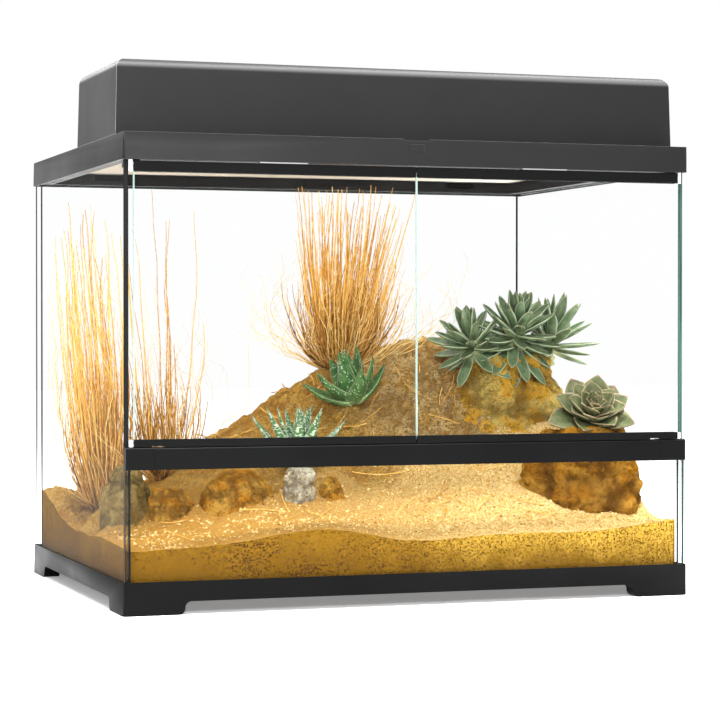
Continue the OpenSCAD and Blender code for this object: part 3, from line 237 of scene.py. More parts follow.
def buildGrit():
    # grains of two sizes: their height, and a tone for each grain
    g = newGroup("grit", {"Scale": 420.0}, ["Height", "Tone"])
    place, scale = g.given["Vector"], g.given["Scale"]
    large = g.node("ShaderNodeTexVoronoi", {"Vector": place, "Scale": scale}).outputs
    small = g.add("ShaderNodeTexVoronoi", {"Vector": place, "Scale": g.times(scale, 2.7)}, "Distance")
    g.feed(g.result["Height"], g.minus(1.0, g.plus(large["Distance"], g.times(small, 0.5))))
    g.feed(g.result["Tone"], g.add("ShaderNodeSeparateColor", {0: large["Color"]}, 1))
    return g.tree


grainGroup = buildGrain()
mottleGroup = buildMottle()
specksGroup = buildSpecks()
gritGroup = buildGrit()


def patches(g, table):
    # soft patches by name: how fine they are, and where they begin and end
    return {name: g.group(mottleGroup, g.place, Scale=scale, Low=low, High=high)[0]
            for name, (scale, low, high) in table.items()}


def specks(g, place, scale, amount, size):
    return g.group(specksGroup, place, Scale=scale, Amount=amount, Size=size)[0]


materials = {}


def newMaterial(name):
    made = bpy.data.materials.new(name)
    made.use_nodes = True
    g = Graph(made.node_tree)
    g.shader = g.tree.nodes["Principled BSDF"]
    g.place = g.tree.nodes.new("ShaderNodeTexCoord").outputs["Object"]
    materials[name] = made
    return g


plasticLook = {
    # the two rim finishes are painted highlights, put on the bevel faces of the hood and the top frame
    "paleRim": dict(dark=(0.26, 0.26, 0.262), pale=(0.33, 0.33, 0.333), gloss=0.4, rough=(0.30, 0.36)),
    "greyRim": dict(dark=(0.075, 0.0755, 0.077), pale=(0.10, 0.1005, 0.102), gloss=0.3, rough=(0.34, 0.40)),
    # crown is the colour of a painted highlight on the rounded upper edges
    "charcoalPlastic": dict(dark=(0.008, 0.0081, 0.0083), pale=(0.011, 0.0111, 0.0113), gloss=0.15,
                            rough=(0.40, 0.48), crown=(0.05, 0.05, 0.0504)),
    "blackPlastic": dict(dark=(0.0025, 0.0026, 0.0027), pale=(0.0042, 0.0043, 0.0044), gloss=0.06,
                         rough=(0.36, 0.46)),
    "nylon": dict(dark=(0.50, 0.51, 0.49), pale=(0.60, 0.61, 0.59), gloss=0.5, rough=(0.25, 0.35)),
    "holderPlastic": dict(dark=(0.68, 0.66, 0.58), pale=(0.78, 0.76, 0.69), gloss=0.5, rough=(0.2, 0.3)),
    "silicone": dict(dark=(0.004, 0.004, 0.0042), pale=(0.007, 0.007, 0.0072), gloss=0.12, rough=(0.4, 0.5)),
}
plasticGrain = {"scale": 1100.0, "depth": 0.00006, "strength": 0.35}


def makePlastic(name, look):
    g = newMaterial(name)
    grain = g.group(grainGroup, g.place, Scale=plasticGrain["scale"])
    shown = g.mix(grain["Shade"], look["dark"], look["pale"])
    if "crown" in look:
        # painted highlight: rounded upper edges are painted paler than the flat faces, a sheen that the lamps
        # do not give
        upward = g.part(g.add("ShaderNodeNewGeometry", key="Normal"), 2)
        sheenBand = g.times(g.ramp(upward, 0.05, 0.35), g.ramp(upward, 0.7, 0.45))
        shown = g.mix(sheenBand, shown, look["crown"])
    low, high = look["rough"]
    g.set(Base_Color=shown, Roughness=g.between(grain["Shade"], high, low), Specular_IOR_Level=look["gloss"])
    g.bump(grain["Height"], plasticGrain["depth"], plasticGrain["strength"])


metalLook = {
    "steel": dict(dark=(0.50, 0.50, 0.50), pale=(0.66, 0.66, 0.65), rough=(0.22, 0.38)),
    "meshWire": dict(dark=(0.44, 0.41, 0.35), pale=(0.60, 0.56, 0.48), rough=(0.32, 0.45)),
    "reflectorSheet": dict(dark=(0.74, 0.74, 0.74), pale=(0.84, 0.84, 0.84), rough=(0.12, 0.26)),
}
brushing = {"scale": (30.0, 1400.0, 1400.0), "depth": 0.00003, "strength": 0.3}


def makeMetal(name, look):
    g = newMaterial(name)
    lines = g.noise(g.vector("MULTIPLY", g.place, brushing["scale"]), Scale=1.0, Detail=2.0)
    low, high = look["rough"]
    shown = g.mix(lines, look["dark"], look["pale"])
    g.set(Base_Color=shown, Roughness=g.between(lines, high, low), Metallic=1.0)
    g.bump(lines, brushing["depth"], brushing["strength"])


glassLook = {"clear": (0.997, 0.9985, 0.998), "mirror": (1, 1, 1), "index": 1.45, "share": 0.08}


def makeGlassFace():
    # clear pane: passes light almost untouched and mirrors a little on its outer side
    g = newMaterial("glassFace")
    g.tree.nodes.remove(g.shader)
    clear = g.add("ShaderNodeBsdfTransparent", {"Color": glassLook["clear"]})
    mirror = g.add("ShaderNodeBsdfGlossy", {"Color": glassLook["mirror"], "Roughness": 0.0})
    edge = g.add("ShaderNodeFresnel", {"IOR": glassLook["index"]})
    inside = g.add("ShaderNodeNewGeometry", key="Backfacing")
    share = g.times(edge, g.calc("MULTIPLY_ADD", inside, -glassLook["share"], glassLook["share"]))
    both = g.add("ShaderNodeMixShader", {0: share, 1: clear, 2: mirror})
    g.feed(g.tree.nodes["Material Output"].inputs["Surface"], both)


edgeLook = {
    "glassEdge": dict(deep=(0.012, 0.035, 0.03), pale=(0.045, 0.10, 0.085)),
    "paleGlassEdge": dict(deep=(0.26, 0.40, 0.36), pale=(0.42, 0.56, 0.51)),
}
edgeStreaks = {"scale": (700.0, 700.0, 9.0), "depth": 0.00005, "strength": 0.3}


def makeGlassEdge(name, look):
    # polished edge of a pane, where its green shows in soft streaks along it
    g = newMaterial(name)
    streaks = g.noise(g.vector("MULTIPLY", g.place, edgeStreaks["scale"]), Scale=1.0, Detail=2.0)
    shown = g.mix(g.ramp(streaks, 0.35, 0.65), look["deep"], look["pale"])
    g.set(Base_Color=shown, Roughness=0.2, Specular_IOR_Level=0.3)
    g.bump(streaks, edgeStreaks["depth"], edgeStreaks["strength"])


lampLook = {"glass": ((0.86, 0.86, 0.84), (0.92, 0.92, 0.90)), "glow": ((0.9, 0.86, 0.76), (1.0, 0.95, 0.86)),
            "clouds": {"cloud": (60.0, 0.3, 0.7)}}


def makeLampGlass():
    g = newMaterial("lampGlass")
    cloud = patches(g, lampLook["clouds"])["cloud"]
    g.set(Base_Color=g.mix(cloud, *lampLook["glass"]), Emission_Color=g.mix(cloud, *lampLook["glow"]),
          Roughness=0.16, Emission_Strength=0.6)


# rust and soil are dark stains in pits and specks, and also painted shade in crevices and between grains
sandLook = {
    "gold": (0.48, 0.275, 0.062), "cream": (0.90, 0.70, 0.31), "shade": (0.62, 0.36, 0.07),
    "ochre": (0.98, 0.58, 0.10), "rust": (0.50, 0.20, 0.03), "bark": (0.88, 0.68, 0.32),
    "soil": (0.28, 0.16, 0.06),
}
sandPatches = {
    "broad": (16.0, 0.38, 0.66), "medium": (70.0, 0.40, 0.62), "fine": (340.0, 0.42, 0.62),
    "pits": (230.0, 0.52, 0.60), "holes": (150.0, 0.50, 0.57),
}


def makeSand():
    look, g = sandLook, newMaterial("drySand")
    rocky, barky, hollow = (g.attribute(name) for name in ("rocky", "barky", "hollow"))
    grit = g.group(gritGroup, g.place, Scale=430.0)
    patch = patches(g, sandPatches)
    warmth = g.ramp(g.plus(g.part(g.place, 0), g.times(patch["broad"], 0.06)), -0.20, 0.20)
    # painted shade: crevice darkens the stone and bark colours in the hollows of the bed
    crevice = g.ramp(hollow, 0.58, 0.88)
    sand = g.paint(g.mix(warmth, look["gold"], look["cream"]),
                   (patch["broad"], 0.3, look["shade"]),
                   (g.ramp(grit["Tone"], 0.72, 1.0), 1.0, look["shade"]))
    stone = g.paint(g.mix(patch["medium"], look["ochre"], look["shade"]),
                    (patch["fine"], 0.6, look["cream"]),
                    (patch["pits"], 0.45, look["rust"]),
                    (crevice, 0.7, look["rust"]))
    bark = g.paint(g.mix(patch["medium"], look["bark"], look["shade"]),
                   (patch["fine"], 0.6, look["cream"]),
                   (g.times(patch["holes"], patch["pits"]), 0.9, look["soil"]),
                   (patch["pits"], 0.35, look["soil"]),
                   (crevice, 0.7, look["soil"]))
    shown = g.paint(sand, (rocky, 1.0, stone), (barky, 1.0, bark),
                    (specks(g, g.place, scale=260.0, amount=0.08, size=0.28), 1.0, look["soil"]),
                    # painted shade: the gaps between grains are darkened
                    (g.ramp(grit["Height"], 0.42, 0.12), 0.5, look["rust"]))
    g.set(Base_Color=shown, Roughness=1.0, Specular_IOR_Level=0.0)
    stony = g.calc("MAXIMUM", rocky, barky)
    rough = g.times(g.minus(patch["fine"], g.times(patch["pits"], 1.4)), stony)
    g.bump(g.plus(grit["Height"], rough), 0.0034)


packedLook = {
    "upper": (0.25, 0.128, 0.010), "lower": (0.14, 0.067, 0.004), "right": (0.62, 0.38, 0.052),
    "speck": (0.04, 0.014, 0.007),
}
packedPatches = {"cloud": (26.0, 0.35, 0.65), "grains": (360.0, 0.5, 0.62), "area": (13.0, 0.40, 0.56)}


def makePackedSand():
    # sand pressed against the panes: darker towards the floor and the left, with dark specks in it
    look, g = packedLook, newMaterial("packedSand")
    grit = g.group(gritGroup, g.place, Scale=620.0)
    patch = patches(g, packedPatches)
    across = g.part(g.place, 0)
    height = g.plus(g.part(g.place, 2), g.times(patch["cloud"], 0.016))
    right = g.mix(g.ramp(across, -0.10, 0.16), look["upper"], look["right"])
    ragged = g.scaled(g.joined(patch["grains"], grit["Tone"], patch["cloud"]), 0.0022)
    ragged = g.vector("ADD", g.place, ragged)
    side = g.between(across, 1.0, 0.25, low=-0.08, high=0.14)
    many = g.times(specks(g, ragged, scale=430.0, amount=0.62, size=0.46), g.times(patch["area"], side))
    few = specks(g, ragged, scale=330.0, amount=0.16, size=0.34)
    shown = g.paint(g.mix(g.ramp(height, 0.028, 0.095), look["lower"], right),
                    (g.ramp(grit["Tone"], 0.55, 1.0), 1.0, look["lower"]),
                    (patch["grains"], 0.45, look["lower"]),
                    (g.calc("MAXIMUM", many, few), 1.0, look["speck"]))
    g.set(Base_Color=shown, Roughness=1.0, Specular_IOR_Level=0.0)
    g.bump(g.minus(grit["Height"], patch["grains"]), 0.0012, 0.8)


stoneLook = {
    "ochreStone": dict(main=(0.99, 0.50, 0.035), pale=(0.99, 0.74, 0.20), dark=(0.20, 0.085, 0.02),
                       hollows=0.65, mottle=34.0),
    "rustStone": dict(main=(0.47, 0.19, 0.011), pale=(0.66, 0.34, 0.045), dark=(0.13, 0.05, 0.012),
                      hollows=0.75, mottle=38.0),
    "brownStone": dict(main=(0.74, 0.30, 0.018), pale=(0.86, 0.48, 0.08), dark=(0.16, 0.065, 0.018),
                       hollows=0.7, mottle=48.0),
    "mossyStone": dict(main=(0.36, 0.225, 0.06), pale=(0.56, 0.40, 0.13), dark=(0.07, 0.045, 0.015),
                       hollows=0.7, mottle=90.0),
    "paleStone": dict(main=(0.97, 0.84, 0.52), pale=(0.99, 0.95, 0.78), dark=(0.30, 0.19, 0.08),
                      hollows=0.7, mottle=110.0),
}


def makeStone(name, look):
    g = newMaterial(name)
    grit = g.group(gritGroup, g.place, Scale=560.0)
    patch = patches(g, {
        "broad": (look["mottle"], 0.42, 0.60), "blotch": (look["mottle"] * 0.7, 0.57, 0.64),
        "fine": (420.0, 0.40, 0.66), "pits": (260.0, 0.54, 0.62)})
    # painted shade: the dark colour is laid into the crevices of the folded rock, where shade falls
    crevice = g.times(g.ramp(g.attribute("hollow"), 0.56, 0.86), look["hollows"])
    shown = g.paint(g.mix(patch["broad"], look["main"], look["pale"]),
                    (patch["fine"], 0.5, look["pale"]),
                    (patch["pits"], 0.5, look["dark"]),
                    (g.calc("MAXIMUM", crevice, g.times(patch["blotch"], 0.55)), 1.0, look["dark"]))
    g.set(Base_Color=shown, Roughness=1.0, Specular_IOR_Level=0.0)
    g.bump(g.minus(g.plus(grit["Height"], g.times(patch["fine"], 0.8)), patch["pits"]), 0.0036)


gravelLook = {"cream": (0.78, 0.60, 0.27), "tan": (0.56, 0.34, 0.09), "brown": (0.22, 0.10, 0.03),
              "clouds": {"cloud": (300.0, 0.35, 0.7)}}


def makeGravelFinish():
    look, g = gravelLook, newMaterial("looseGravel")
    tone = g.attribute("tone")
    cloud = patches(g, look["clouds"])["cloud"]
    shown = g.paint(g.mix(g.ramp(tone, 0.35, 0.8), look["cream"], look["tan"]),
                    (g.ramp(tone, 0.9, 0.97), 1.0, look["brown"]), (cloud, 0.4, look["tan"]))
    g.set(Base_Color=shown, Roughness=0.9, Specular_IOR_Level=0.05)
    g.bump(cloud, 0.0004, 0.6)


strawLook = {
    "dryStraw": dict(main=(0.74, 0.42, 0.09), dark=(0.42, 0.18, 0.025),
                     pale=(0.90, 0.66, 0.26), foot=(0.26, 0.11, 0.02)),
    "strawRoot": dict(main=(0.42, 0.19, 0.035), dark=(0.10, 0.045, 0.018),
                      pale=(0.62, 0.34, 0.08), foot=(0.09, 0.04, 0.016)),
    "strawWisp": dict(main=(0.88, 0.62, 0.22), dark=(0.60, 0.34, 0.09),
                      pale=(0.95, 0.78, 0.42), foot=(0.62, 0.36, 0.10)),
}


def makeStraw(name, look):
    g = newMaterial(name)
    stripes = g.noise(g.place, Scale=190.0, Detail=3.0)
    shown = g.paint(g.mix(g.ramp(g.attribute("tone"), 0.25, 1.0), look["main"], look["dark"]),
                    (g.ramp(stripes, 0.45, 0.7), 0.6, look["pale"]),
                    (g.ramp(g.attribute("along"), 0.28, 0.0), 0.8, look["foot"]))
    g.set(Base_Color=shown, Roughness=0.7, Specular_IOR_Level=0.08)
    g.bump(stripes, 0.0002, 0.6)


leafLook = {
    "agaveLeaf": dict(main=(0.068, 0.11, 0.045), pale=(0.17, 0.235, 0.125),
                      edge=(0.52, 0.60, 0.40), edgeFrom=0.78,
                      foot=(0.42, 0.46, 0.22), tip=(0.30, 0.27, 0.16)),
    "rosetteLeaf": dict(main=(0.07, 0.085, 0.032), pale=(0.155, 0.17, 0.08),
                        edge=(0.42, 0.30, 0.18), edgeFrom=0.84,
                        foot=(0.26, 0.29, 0.16), tip=(0.36, 0.15, 0.10)),
    "bandedLeaf": dict(main=(0.045, 0.125, 0.04), pale=(0.09, 0.20, 0.07),
                       edge=(0.42, 0.52, 0.36), edgeFrom=0.88,
                       foot=(0.26, 0.33, 0.18), tip=(0.30, 0.24, 0.12), bands=(0.62, 0.68, 0.56)),
    "spottedLeaf": dict(main=(0.035, 0.105, 0.030), pale=(0.08, 0.19, 0.055),
                        edge=(0.36, 0.46, 0.22), edgeFrom=0.90,
                        foot=(0.20, 0.30, 0.12), tip=(0.24, 0.16, 0.06), spots=(0.60, 0.68, 0.45)),
}
leafClouds = {"cloud": (70.0, 0.35, 0.68)}


def makeLeaf(name, look):
    g = newMaterial(name)
    along, across = g.attribute("along"), g.attribute("across")

    def streaked(length, width, detail):
        place = g.joined(g.times(along, length), g.times(across, width))
        return g.noise(place, Scale=1.0, Detail=detail)

    veins = streaked(3.0, 26.0, 2.0)
    shown = g.paint(g.mix(patches(g, leafClouds)["cloud"], look["main"], look["pale"]),
                    (g.ramp(veins, 0.5, 0.72), 0.35, look["pale"]),
                    (g.ramp(along, 0.3, 0.0), 1.0, look["foot"]))
    if "bands" in look:
        shown = g.paint(shown, (g.ramp(streaked(34.0, 1.6, 1.0), 0.52, 0.60), 0.85, look["bands"]))
    if "spots" in look:
        shown = g.paint(shown, (specks(g, g.place, scale=420.0, amount=0.42, size=0.33), 0.8, look["spots"]))
    rim = g.calc("MAXIMUM", *(g.ramp(side, look["edgeFrom"], 1.0) for side in (across, g.times(across, -1.0))))
    shown = g.paint(shown, (rim, 1.0, look["edge"]), (g.ramp(along, 0.93, 1.0), 1.0, look["tip"]))
    g.set(Base_Color=shown, Roughness=0.48, Specular_IOR_Level=0.2)
    g.set(Subsurface_Weight=0.06, Subsurface_Scale=0.004)
    g.bump(veins, 0.00035, 0.5)


for makeFinish, looks in ((makePlastic, plasticLook), (makeMetal, metalLook), (makeGlassEdge, edgeLook),
                          (makeStone, stoneLook), (makeLeaf, leafLook), (makeStraw, strawLook)):
    for name, look in looks.items():
        makeFinish(name, look)
for makeFinish in (makeGlassFace, makeLampGlass, makeSand, makePackedSand, makeGravelFinish):
    makeFinish()
print("materials made:", len(materials))


# ways to make, read and finish a mesh

def camel(words):
    # left_top_rail becomes leftTopRail
    first, *rest = words.split("_")
    return first + "".join(word.capitalize() for word in rest)


def addObject(name, data):
    made = bpy.data.objects.new(name, data)
    bpy.context.scene.collection.objects.link(made)
    return made


def newMesh(name, vertices, faces, *finishes):
    mesh = bpy.data.meshes.new(name)
    mesh.from_pydata([tuple(v) for v in vertices], [], faces)
    for finish in finishes:
        mesh.materials.append(materials[finish])
    mesh.update()
    return mesh


def skin(rings, vertices, faces):
    # closes a row of outlines, all with the same number of corners, into one skin with end caps
    base, n = len(vertices), len(rings[0])
    for ring in rings:
        vertices += ring
    for a in range(base, len(vertices) - n, n):
        faces += [(a + i, a + (i + 1) % n, a + n + (i + 1) % n, a + n + i) for i in range(n)]
    faces += [tuple(range(base + n - 1, base - 1, -1)), tuple(range(len(vertices) - n, len(vertices)))]


def faceOutward(mesh):
    work = bmesh.new()
    work.from_mesh(mesh)
    bmesh.ops.recalc_face_normals(work, faces=work.faces)
    work.to_mesh(mesh)
    work.free()


def finishPiece(piece, node, slot):
    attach(piece, nodes[node]["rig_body"])
    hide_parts(node)


def smooth(mesh):
    mesh.polygons.foreach_set("use_smooth", [True] * len(mesh.polygons))


def setAttribute(mesh, name, values):
    made = mesh.attributes.new(name, "FLOAT", "POINT")
    made.data.foreach_set("value", np.asarray(values, dtype=np.float32))


def readVertices(mesh, field="co"):
    values = np.zeros(len(mesh.vertices) * 3)
    mesh.vertices.foreach_get(field, values)
    return values.reshape(-1, 3)


def applyModifiers(piece):
    depsgraph = bpy.context.evaluated_depsgraph_get()
    made = bpy.data.meshes.new_from_object(piece.evaluated_get(depsgraph))
    made.name = piece.name
    piece.modifiers.clear()
    piece.data = made
    return piece


def keepOneFinish(mesh, finish):
    mesh.polygons.foreach_set("material_index", [0] * len(mesh.polygons))
    mesh.materials.clear()
    mesh.materials.append(finish)


cadMesh = {"weld": 0.00001, "flat": math.radians(0.6), "sharpest": math.radians(38)}


def mergedCopy(name, node, finish):
    # a CAD node's mesh is loose triangles, so its copy is merged before anything else
    mesh = nodes[node].data.copy()
    mesh.name = name
    work = bmesh.new()
    work.from_mesh(mesh)
    bmesh.ops.remove_doubles(work, verts=work.verts, dist=cadMesh["weld"])
    bmesh.ops.dissolve_limit(work, angle_limit=cadMesh["flat"], verts=work.verts, edges=work.edges)
    weight = work.edges.layers.float.new("bevel_weight_edge")
    for edge in work.edges:
        corner = len(edge.link_faces) == 2 and edge.is_convex and edge.calc_face_angle() > cadMesh["sharpest"]
        edge[weight] = 1.0 if corner else 0.0
    work.to_mesh(mesh)
    work.free()
    for old in [a.name for a in mesh.attributes if a.name == "custom_normal"]:
        mesh.attributes.remove(mesh.attributes[old])
    mesh.materials.clear()
    mesh.materials.append(materials[finish])
    return addObject(name, mesh)


# moulded plastic keeps its CAD shape and gets softened edges; edge is the width of the bevel in mm

softened = {
    "base_frame": dict(finish="blackPlastic", edge=0.7),
    "front_sill": dict(finish="blackPlastic", edge=0.5),
    "left_sill_cap": dict(finish="blackPlastic", edge=0.5),
    "right_sill_cap": dict(finish="blackPlastic", edge=0.5),
    "left_top_rail": dict(finish="blackPlastic", edge=0.4),
    "right_top_rail": dict(finish="blackPlastic", edge=0.4),
    "left_bottom_rail": dict(finish="blackPlastic", edge=0.4),
    "right_bottom_rail": dict(finish="blackPlastic", edge=0.4),
    "top_frame": dict(finish="charcoalPlastic", edge=0.5, rim="greyRim"),
    "cover_button": dict(finish="charcoalPlastic", edge=0.1),
    "screen_frame": dict(finish="charcoalPlastic", edge=0.4),
    "hood_shell": dict(finish="charcoalPlastic", edge=0.7, rim="paleRim"),
    "switch_body": dict(finish="blackPlastic", edge=0.3),
    "switch_rocker": dict(finish="blackPlastic", edge=0.3),
    "left_inlet_gate": dict(finish="blackPlastic", edge=0.3),
    "right_inlet_gate": dict(finish="blackPlastic", edge=0.3),
}
plasticSlots = {"blackPlastic": "black_plastic", "charcoalPlastic": "charcoal_plastic"}
mostCorners = 8

for node, look in softened.items():
    piece = mergedCopy(camel(node), node, look["finish"])
    bevel = piece.modifiers.new("softEdge", "BEVEL")
    bevel.width = look["edge"] * mm
    bevel.segments = 2
    bevel.limit_method = "WEIGHT"
    bevel.harden_normals = True
    # painted highlight: the bevel faces of these pieces take the paler rim finish, standing in for a glint
    # along the edge
    if "rim" in look:
        piece.data.materials.append(materials[look["rim"]])
        bevel.material = 1
    cut = piece.modifiers.new("ringFaces", "TRIANGULATE")
    cut.min_vertices = mostCorners + 1
    smooth(piece.data)
    finishPiece(applyModifiers(piece), node, plasticSlots[look["finish"]])
print("plastic parts softened:", len(softened))

plainFinish = {
    "cable_gland": "blackPlastic", "hood_pads": "blackPlastic", "keeper_plates": "steel",
    "button_spring": "steel", "left_magnet": "steel", "right_magnet": "steel", "reflector_screws": "steel",
    "left_upper_pivot": "nylon", "left_lower_pivot": "nylon",
    "right_upper_pivot": "nylon", "right_lower_pivot": "nylon",
    "reflector": "reflectorSheet", "lamp_holders": "holderPlastic", "lamps": "lampGlass",
}
for node, finish in plainFinish.items():
    if not nodes[node].material_slots:
        nodes[node].data.materials.append(materials[finish])
    for entry in nodes[node].material_slots:
        entry.material = materials[finish]


# glass panes, with their finish on the edges that do not show the green one

chamfer = 0.6 * mm
facing = {"across": 0.99, "side": 0.6}
panes = {
    "floor_glass": {},
    "left_glass": {"front": "silicone", "back": "glassFace"},
    "right_glass": {"back": "glassFace"},
    "back_glass": {"left": "silicone", "right": "glassFace"},
    "front_glass": {"left": "silicone"},
    "left_door_glass": {"right": "glassFace", "left": "paleGlassEdge"},
    "right_door_glass": {"left": "paleGlassEdge", "right": "glassFace"},
}
sideAxis = {"left": (0, -1), "right": (0, 1), "front": (1, -1), "back": (1, 1)}


def makePane(node, edges):
    low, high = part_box(node)
    size = high - low
    thin = min(range(3), key=lambda k: size[k])
    work = bmesh.new()
    bmesh.ops.create_cube(work, size=1.0)
    for v in work.verts:
        v.co = [low[k] + (v.co[k] + 0.5) * size[k] for k in range(3)]
    bmesh.ops.bevel(work, geom=work.edges[:], offset=chamfer, segments=1, affect="EDGES", profile=0.5)
    finishes = ["glassFace", "glassEdge"] + sorted(set(edges.values()) - {"glassFace"})
    for face in work.faces:
        face.material_index = 0 if abs(face.normal[thin]) > facing["across"] else 1
        for side, finish in edges.items():
            axis, sign = sideAxis[side]
            if face.normal[axis] * sign > facing["side"]:
                face.material_index = finishes.index(finish)
    name = camel(node.replace("glass", "pane"))
    mesh = newMesh(name, [], [], *finishes)
    work.to_mesh(mesh)
    work.free()
    finishPiece(addObject(name, mesh), node, "clear_glass")


for node, edges in panes.items():
    makePane(node, edges)
print("glass panes made:", len(panes))


# corner beads: thin fillets of sealant where the panes meet

bead = {"leg": 1.8, "segments": 7}
beadCorners = {"front_corner_beads": dict(y=-222.0, toward=1), "back_corner_beads": dict(y=220.0, toward=-1)}


def makeBeads(node, look):
    low, high = (np.array(corner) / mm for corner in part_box(node))
    vertices, faces = [], []
    for side in (-1, 1):
        corner = np.array([side * high[0], look["y"]])
        outline = [corner]
        for k in range(bead["segments"] + 1):
            turn = k / bead["segments"] * math.pi / 2
            away = np.array([-side * (1 - math.sin(turn)), look["toward"] * (1 - math.cos(turn))])
            outline.append(corner + bead["leg"] * away)
        skin([[(x * mm, y * mm, z * mm) for x, y in outline] for z in (low[2], high[2])], vertices, faces)
    name = camel(node.replace("_corner", ""))
    piece = addObject(name, newMesh(name, vertices, faces, "silicone"))
    faceOutward(piece.data)
    finishPiece(piece, node, "silicone")


for node, look in beadCorners.items():
    makeBeads(node, look)
print("corner beads made:", len(beadCorners))


# noise for stone and sand, the same on each run

hashing = {"cell": (73856093, 19349663, 83492791), "seed": 2654435761,
           "stir": ((15, 2246822519), (13, 3266489917))}
wholeWord, valueBits = 0xFFFFFFFF, 0xFFFFFF


def cellValue(cell, seed):
    # a steady pseudo-random number from 0 to 1 for each whole-number cell
    px, py, pz = hashing["cell"]
    n = (cell[:, 0] * px) ^ (cell[:, 1] * py) ^ (cell[:, 2] * pz) ^ (seed * hashing["seed"])
    n = n & wholeWord
    for shift, factor in hashing["stir"]:
        n = ((n ^ (n >> shift)) * factor) & wholeWord
    return ((n ^ (n >> 16)) & valueBits) / valueBits


def softNoise(points, size, seed):
    # smooth noise from -1 to 1 with bumps about as wide as size
    p = points / size
    base = np.floor(p).astype(np.int64)
    part = p - base
    part = part * part * (3 - 2 * part)
    total = np.zeros(len(p))
    for corner in range(8):
        offset = np.array([corner & 1, corner >> 1 & 1, corner >> 2 & 1])
        weight = np.prod(np.where(offset, part, 1 - part), axis=1)
        total += weight * cellValue(base + offset, seed)
    return total * 2 - 1


def layeredNoise(points, size, layers, seed, ridged=False):
    total, strength = np.zeros(len(points)), 0.0
    for k in range(layers):
        value = softNoise(points, size / 2 ** k, seed + 17 * k)
        total += (1 - 2 * np.abs(value) if ridged else value) / 2 ** k
        strength += 1 / 2 ** k
    return total / strength


# rocks, which the sand settles round; cell is the mesh size, the rest shapes the surface, in mm

rocks = {
    "left_stone": dict(finish="mossyStone", slot="mossy_stone",
                       cell=1.5, fold=4.2, foldSize=26, rough=2.0, swell=3.0, seed=3),
    "slab_stone": dict(finish="brownStone", slot="brown_stone",
                       cell=1.4, fold=3.4, foldSize=20, rough=1.7, swell=3.0, seed=11),
    "brown_boulder": dict(finish="brownStone", slot="brown_stone",
                          cell=1.5, fold=5.0, foldSize=30, rough=2.2, swell=4.0, seed=24),
    "pale_stone": dict(finish="paleStone", slot="pale_stone",
                       cell=1.1, fold=3.0, foldSize=16, rough=1.5, swell=2.0, seed=31),
    "dark_stone": dict(finish="brownStone", slot="brown_stone",
                       cell=1.0, fold=2.4, foldSize=13, rough=1.2, swell=2.0, seed=45),
    "right_rock": dict(finish="rustStone", slot="ochre_stone",
                       cell=2.0, fold=10.0, foldSize=44, rough=4.0, swell=7.0, seed=52),
    "upper_rock": dict(finish="ochreStone", slot="ochre_stone",
                       cell=1.9, fold=10.0, foldSize=42, rough=4.0, swell=11.0, seed=67),
}
bed = {
    "innerX": 297.6, "frontY": -222.0, "depth": 442.0, "floorZ": 25.0, "gap": 0.35, "cornerCut": 5.2,
    "columns": 330, "rows": 246, "lowest": 8, "wander": 26,
    "stonyFolds": 9.0, "stonyLumps": 4.6, "sandFolds": 2.2, "sandLumps": 1.4, "grains": 1.1,
    "bank": 4.5, "bankAt": 0.95, "bankWidth": 0.22, "clodRise": 5, "clodLumps": 9, "clodRock": 0.75,
    "foldShare": 0.6, "calmBand": 8, "calmest": 0.35,
    "rowsFrontToBack": [
        [38, 43, 55, 41, 45, 45, 55],
        [41, 53, 67, 70, 80, 75, 60],
        [41, 75, 105, 125, 140, 125, 125],
        [39, 100, 150, 185, 212, 203, 150],
        [43, 95, 160, 217, 248, 238, 160],
        [55, 80, 135, 175, 195, 190, 145],
        [70, 70, 85, 105, 125, 115, 95],
    ],
}


def blendFour(a, b, c, d, t):
    return (2 * b + (c - a) * t + (2 * a - 5 * b + 4 * c - d) * t ** 2 + (3 * b - a - 3 * c + d) * t ** 3) / 2


def groundHeight(x, y):
    # height of the bed above the floor glass, in mm, by the same rows as the solid
    heights = np.array(bed["rowsFrontToBack"], float)
    last = len(heights) - 1
    u = np.clip(x / (2 * bed["innerX"]) + 0.5, 0, 1) * last
    v = np.clip((y - bed["frontY"]) / bed["depth"], 0, 1) * last
    i = np.minimum(np.floor(u).astype(int), last - 1)
    j = np.minimum(np.floor(v).astype(int), last - 1)

    def alongRow(row):
        row = np.clip(row, 0, last)
        pick = [heights[row, np.clip(i + k, 0, last)] for k in (-1, 0, 1, 2)]
        return blendFour(*pick, u - i)

    return blendFour(alongRow(j - 1), alongRow(j), alongRow(j + 1), alongRow(j + 2), v - j)


def topOfBed(x, y):
    return float(groundHeight(np.array([x]), np.array([y]))[0]) + bed["floorZ"]


def softStep(value, low, high):
    t = np.clip((value - low) / (high - low), 0, 1)
    return t * t * (3 - 2 * t)


def hollowness(folds, lumps, foldShare):
    # 0 on a ridge, 1 in a crevice
    return np.clip(0.5 - 0.5 * (foldShare * folds + (1 - foldShare) * lumps), 0, 1)


